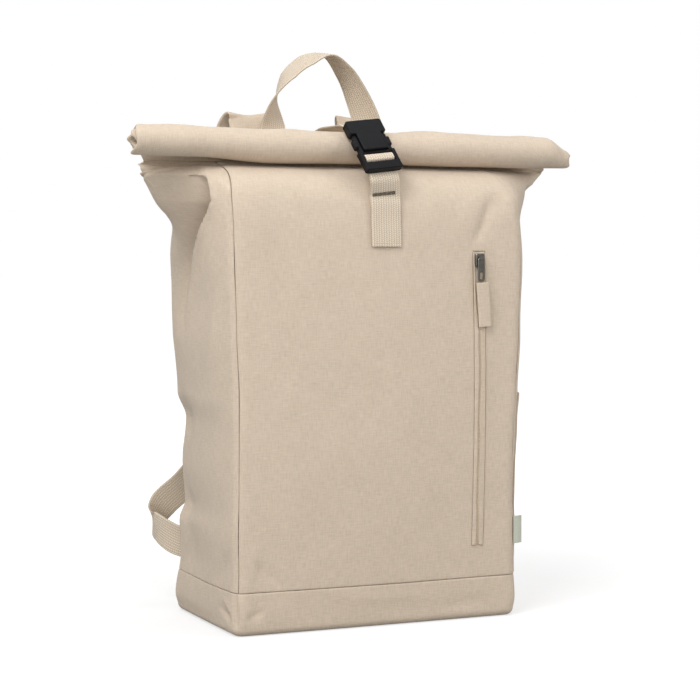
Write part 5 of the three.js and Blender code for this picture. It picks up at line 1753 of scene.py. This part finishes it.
# %% [markdown]
# Every piece was given a slot when it was made, so the finishes can now be handed out
# by slot. Stitches and teeth have a finish of their own, chosen by their names.

# %% Which piece has which finish
FINISH = {"canvas": canvas, "webbing": webbing, "plastic": plastic, "metal": metal, "tag": tag}
BY_NAME = {"stitches_zip": thread, "stitches_collar": thread, "stitches_patch": thread,
           "stitches_bar": dark_thread, "zip_teeth": thread}
for piece in bpy.context.scene.objects:
    if piece.type == "MESH" and "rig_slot" in piece:
        piece.data.materials.clear()
        piece.data.materials.append(BY_NAME.get(piece.name, FINISH[piece["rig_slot"]]))
print("finishes:", sorted(FINISH))

# %% [markdown]
# The photograph's setting is a plain white floor that runs into a white wall. The
# floor glows for the camera alone, weakly at the foot of the bag, where its shadow
# has to show, and more strongly further out, so that no edge of it is seen.

# %% The floor
FLOOR = 30.0
FLOOR_DROP = 0.0003
FLOOR_SHADE = 0.42
GLOW_NEAR = 0.60
GLOW_MORE = 0.32
GLOW_FROM = 0.3
GLOW_RISE = 1.6
floor_mesh = bpy.data.meshes.new("floor")
floor_corners = [(FLOOR * x, FLOOR * y, -FLOOR_DROP) for x, y in ((-1, -1), (1, -1), (1, 1), (-1, 1))]
floor_mesh.from_pydata(floor_corners, [], [(0, 1, 2, 3)])
floor = bpy.data.objects.new("floor", floor_mesh)
bpy.context.scene.collection.objects.link(floor)
white, tree, shader, relief = shader_of("floor_white", 1.0, 0.0, 0.001)
shader.inputs["Base Color"].default_value = (FLOOR_SHADE, FLOOR_SHADE, FLOOR_SHADE, 1)
shader.inputs["Specular IOR Level"].default_value = 0.0
shader.inputs["Emission Color"].default_value = (1, 1, 1, 1)
seen = tree.nodes.new("ShaderNodeLightPath").outputs["Is Camera Ray"]
place = tree.nodes.new("ShaderNodeTexCoord").outputs["Object"]
away = tree.nodes.new("ShaderNodeVectorMath")
away.operation = "LENGTH"
tree.links.new(place, away.inputs[0])
far = times(tree, less(tree, away.outputs["Value"], GLOW_FROM), GLOW_RISE, clamp=True)
glow = plus(tree, times(tree, far, GLOW_MORE), GLOW_NEAR)
tree.links.new(times(tree, seen, glow), shader.inputs["Emission Strength"])
floor_mesh.materials.append(white)
print("floor", 2 * FLOOR, "m wide")

# %% [markdown]
# Soft light comes from all round. The strongest lamp stands high in front on the
# left, and weaker ones fill from the left, the right, above, low in front and
# behind, so that the front is lit evenly and the left side is only a shade darker.

# %% Lamps, world and colour
AMBIENT = 0.27
AIM = (0, 0, 0.25)
LAMPS = [
    dict(name="key", place=(-1.25, -1.00, 1.90), size=1.0, power=30),
    dict(name="left", place=(-1.8, -0.7, 0.9), size=0.9, power=9),
    dict(name="overhead", place=(0.25, 0.1, 2.1), size=1.1, power=10),
    dict(name="right", place=(1.5, -1.2, 0.9), size=1.0, power=13),
    dict(name="front", place=(-0.3, -1.9, 0.85), size=0.9, power=7),
    dict(name="behind", place=(0.5, 2.0, 1.6), size=1.2, power=8),
]


def soft_lamp(name, place, size, power):
    """A square area lamp that looks from its place, in metres, to the middle of the bag."""
    data = bpy.data.lights.new(name, "AREA")
    data.size = size
    data.energy = power
    lamp = bpy.data.objects.new(name, data)
    lamp.location = place
    look = unit(np.array(AIM) - np.array(place))
    lamp.rotation_euler = (math.acos(-look[2]), 0, math.atan2(look[1], look[0]) - math.pi / 2)
    bpy.context.scene.collection.objects.link(lamp)
    return lamp


world = bpy.data.worlds.new("studio")
world.use_nodes = True
tree = world.node_tree
seen = tree.nodes.new("ShaderNodeLightPath").outputs["Is Camera Ray"]
backdrop = plus(tree, times(tree, seen, 1 - AMBIENT), AMBIENT)
tree.nodes["Background"].inputs["Color"].default_value = (1, 1, 1, 1)
tree.links.new(backdrop, tree.nodes["Background"].inputs["Strength"])
bpy.context.scene.world = world
for lamp in LAMPS:
    soft_lamp(**lamp)
bpy.context.scene.view_settings.view_transform = "Standard"
bpy.context.scene.view_settings.look = "None"
print("lamps:", [lamp["name"] for lamp in LAMPS])
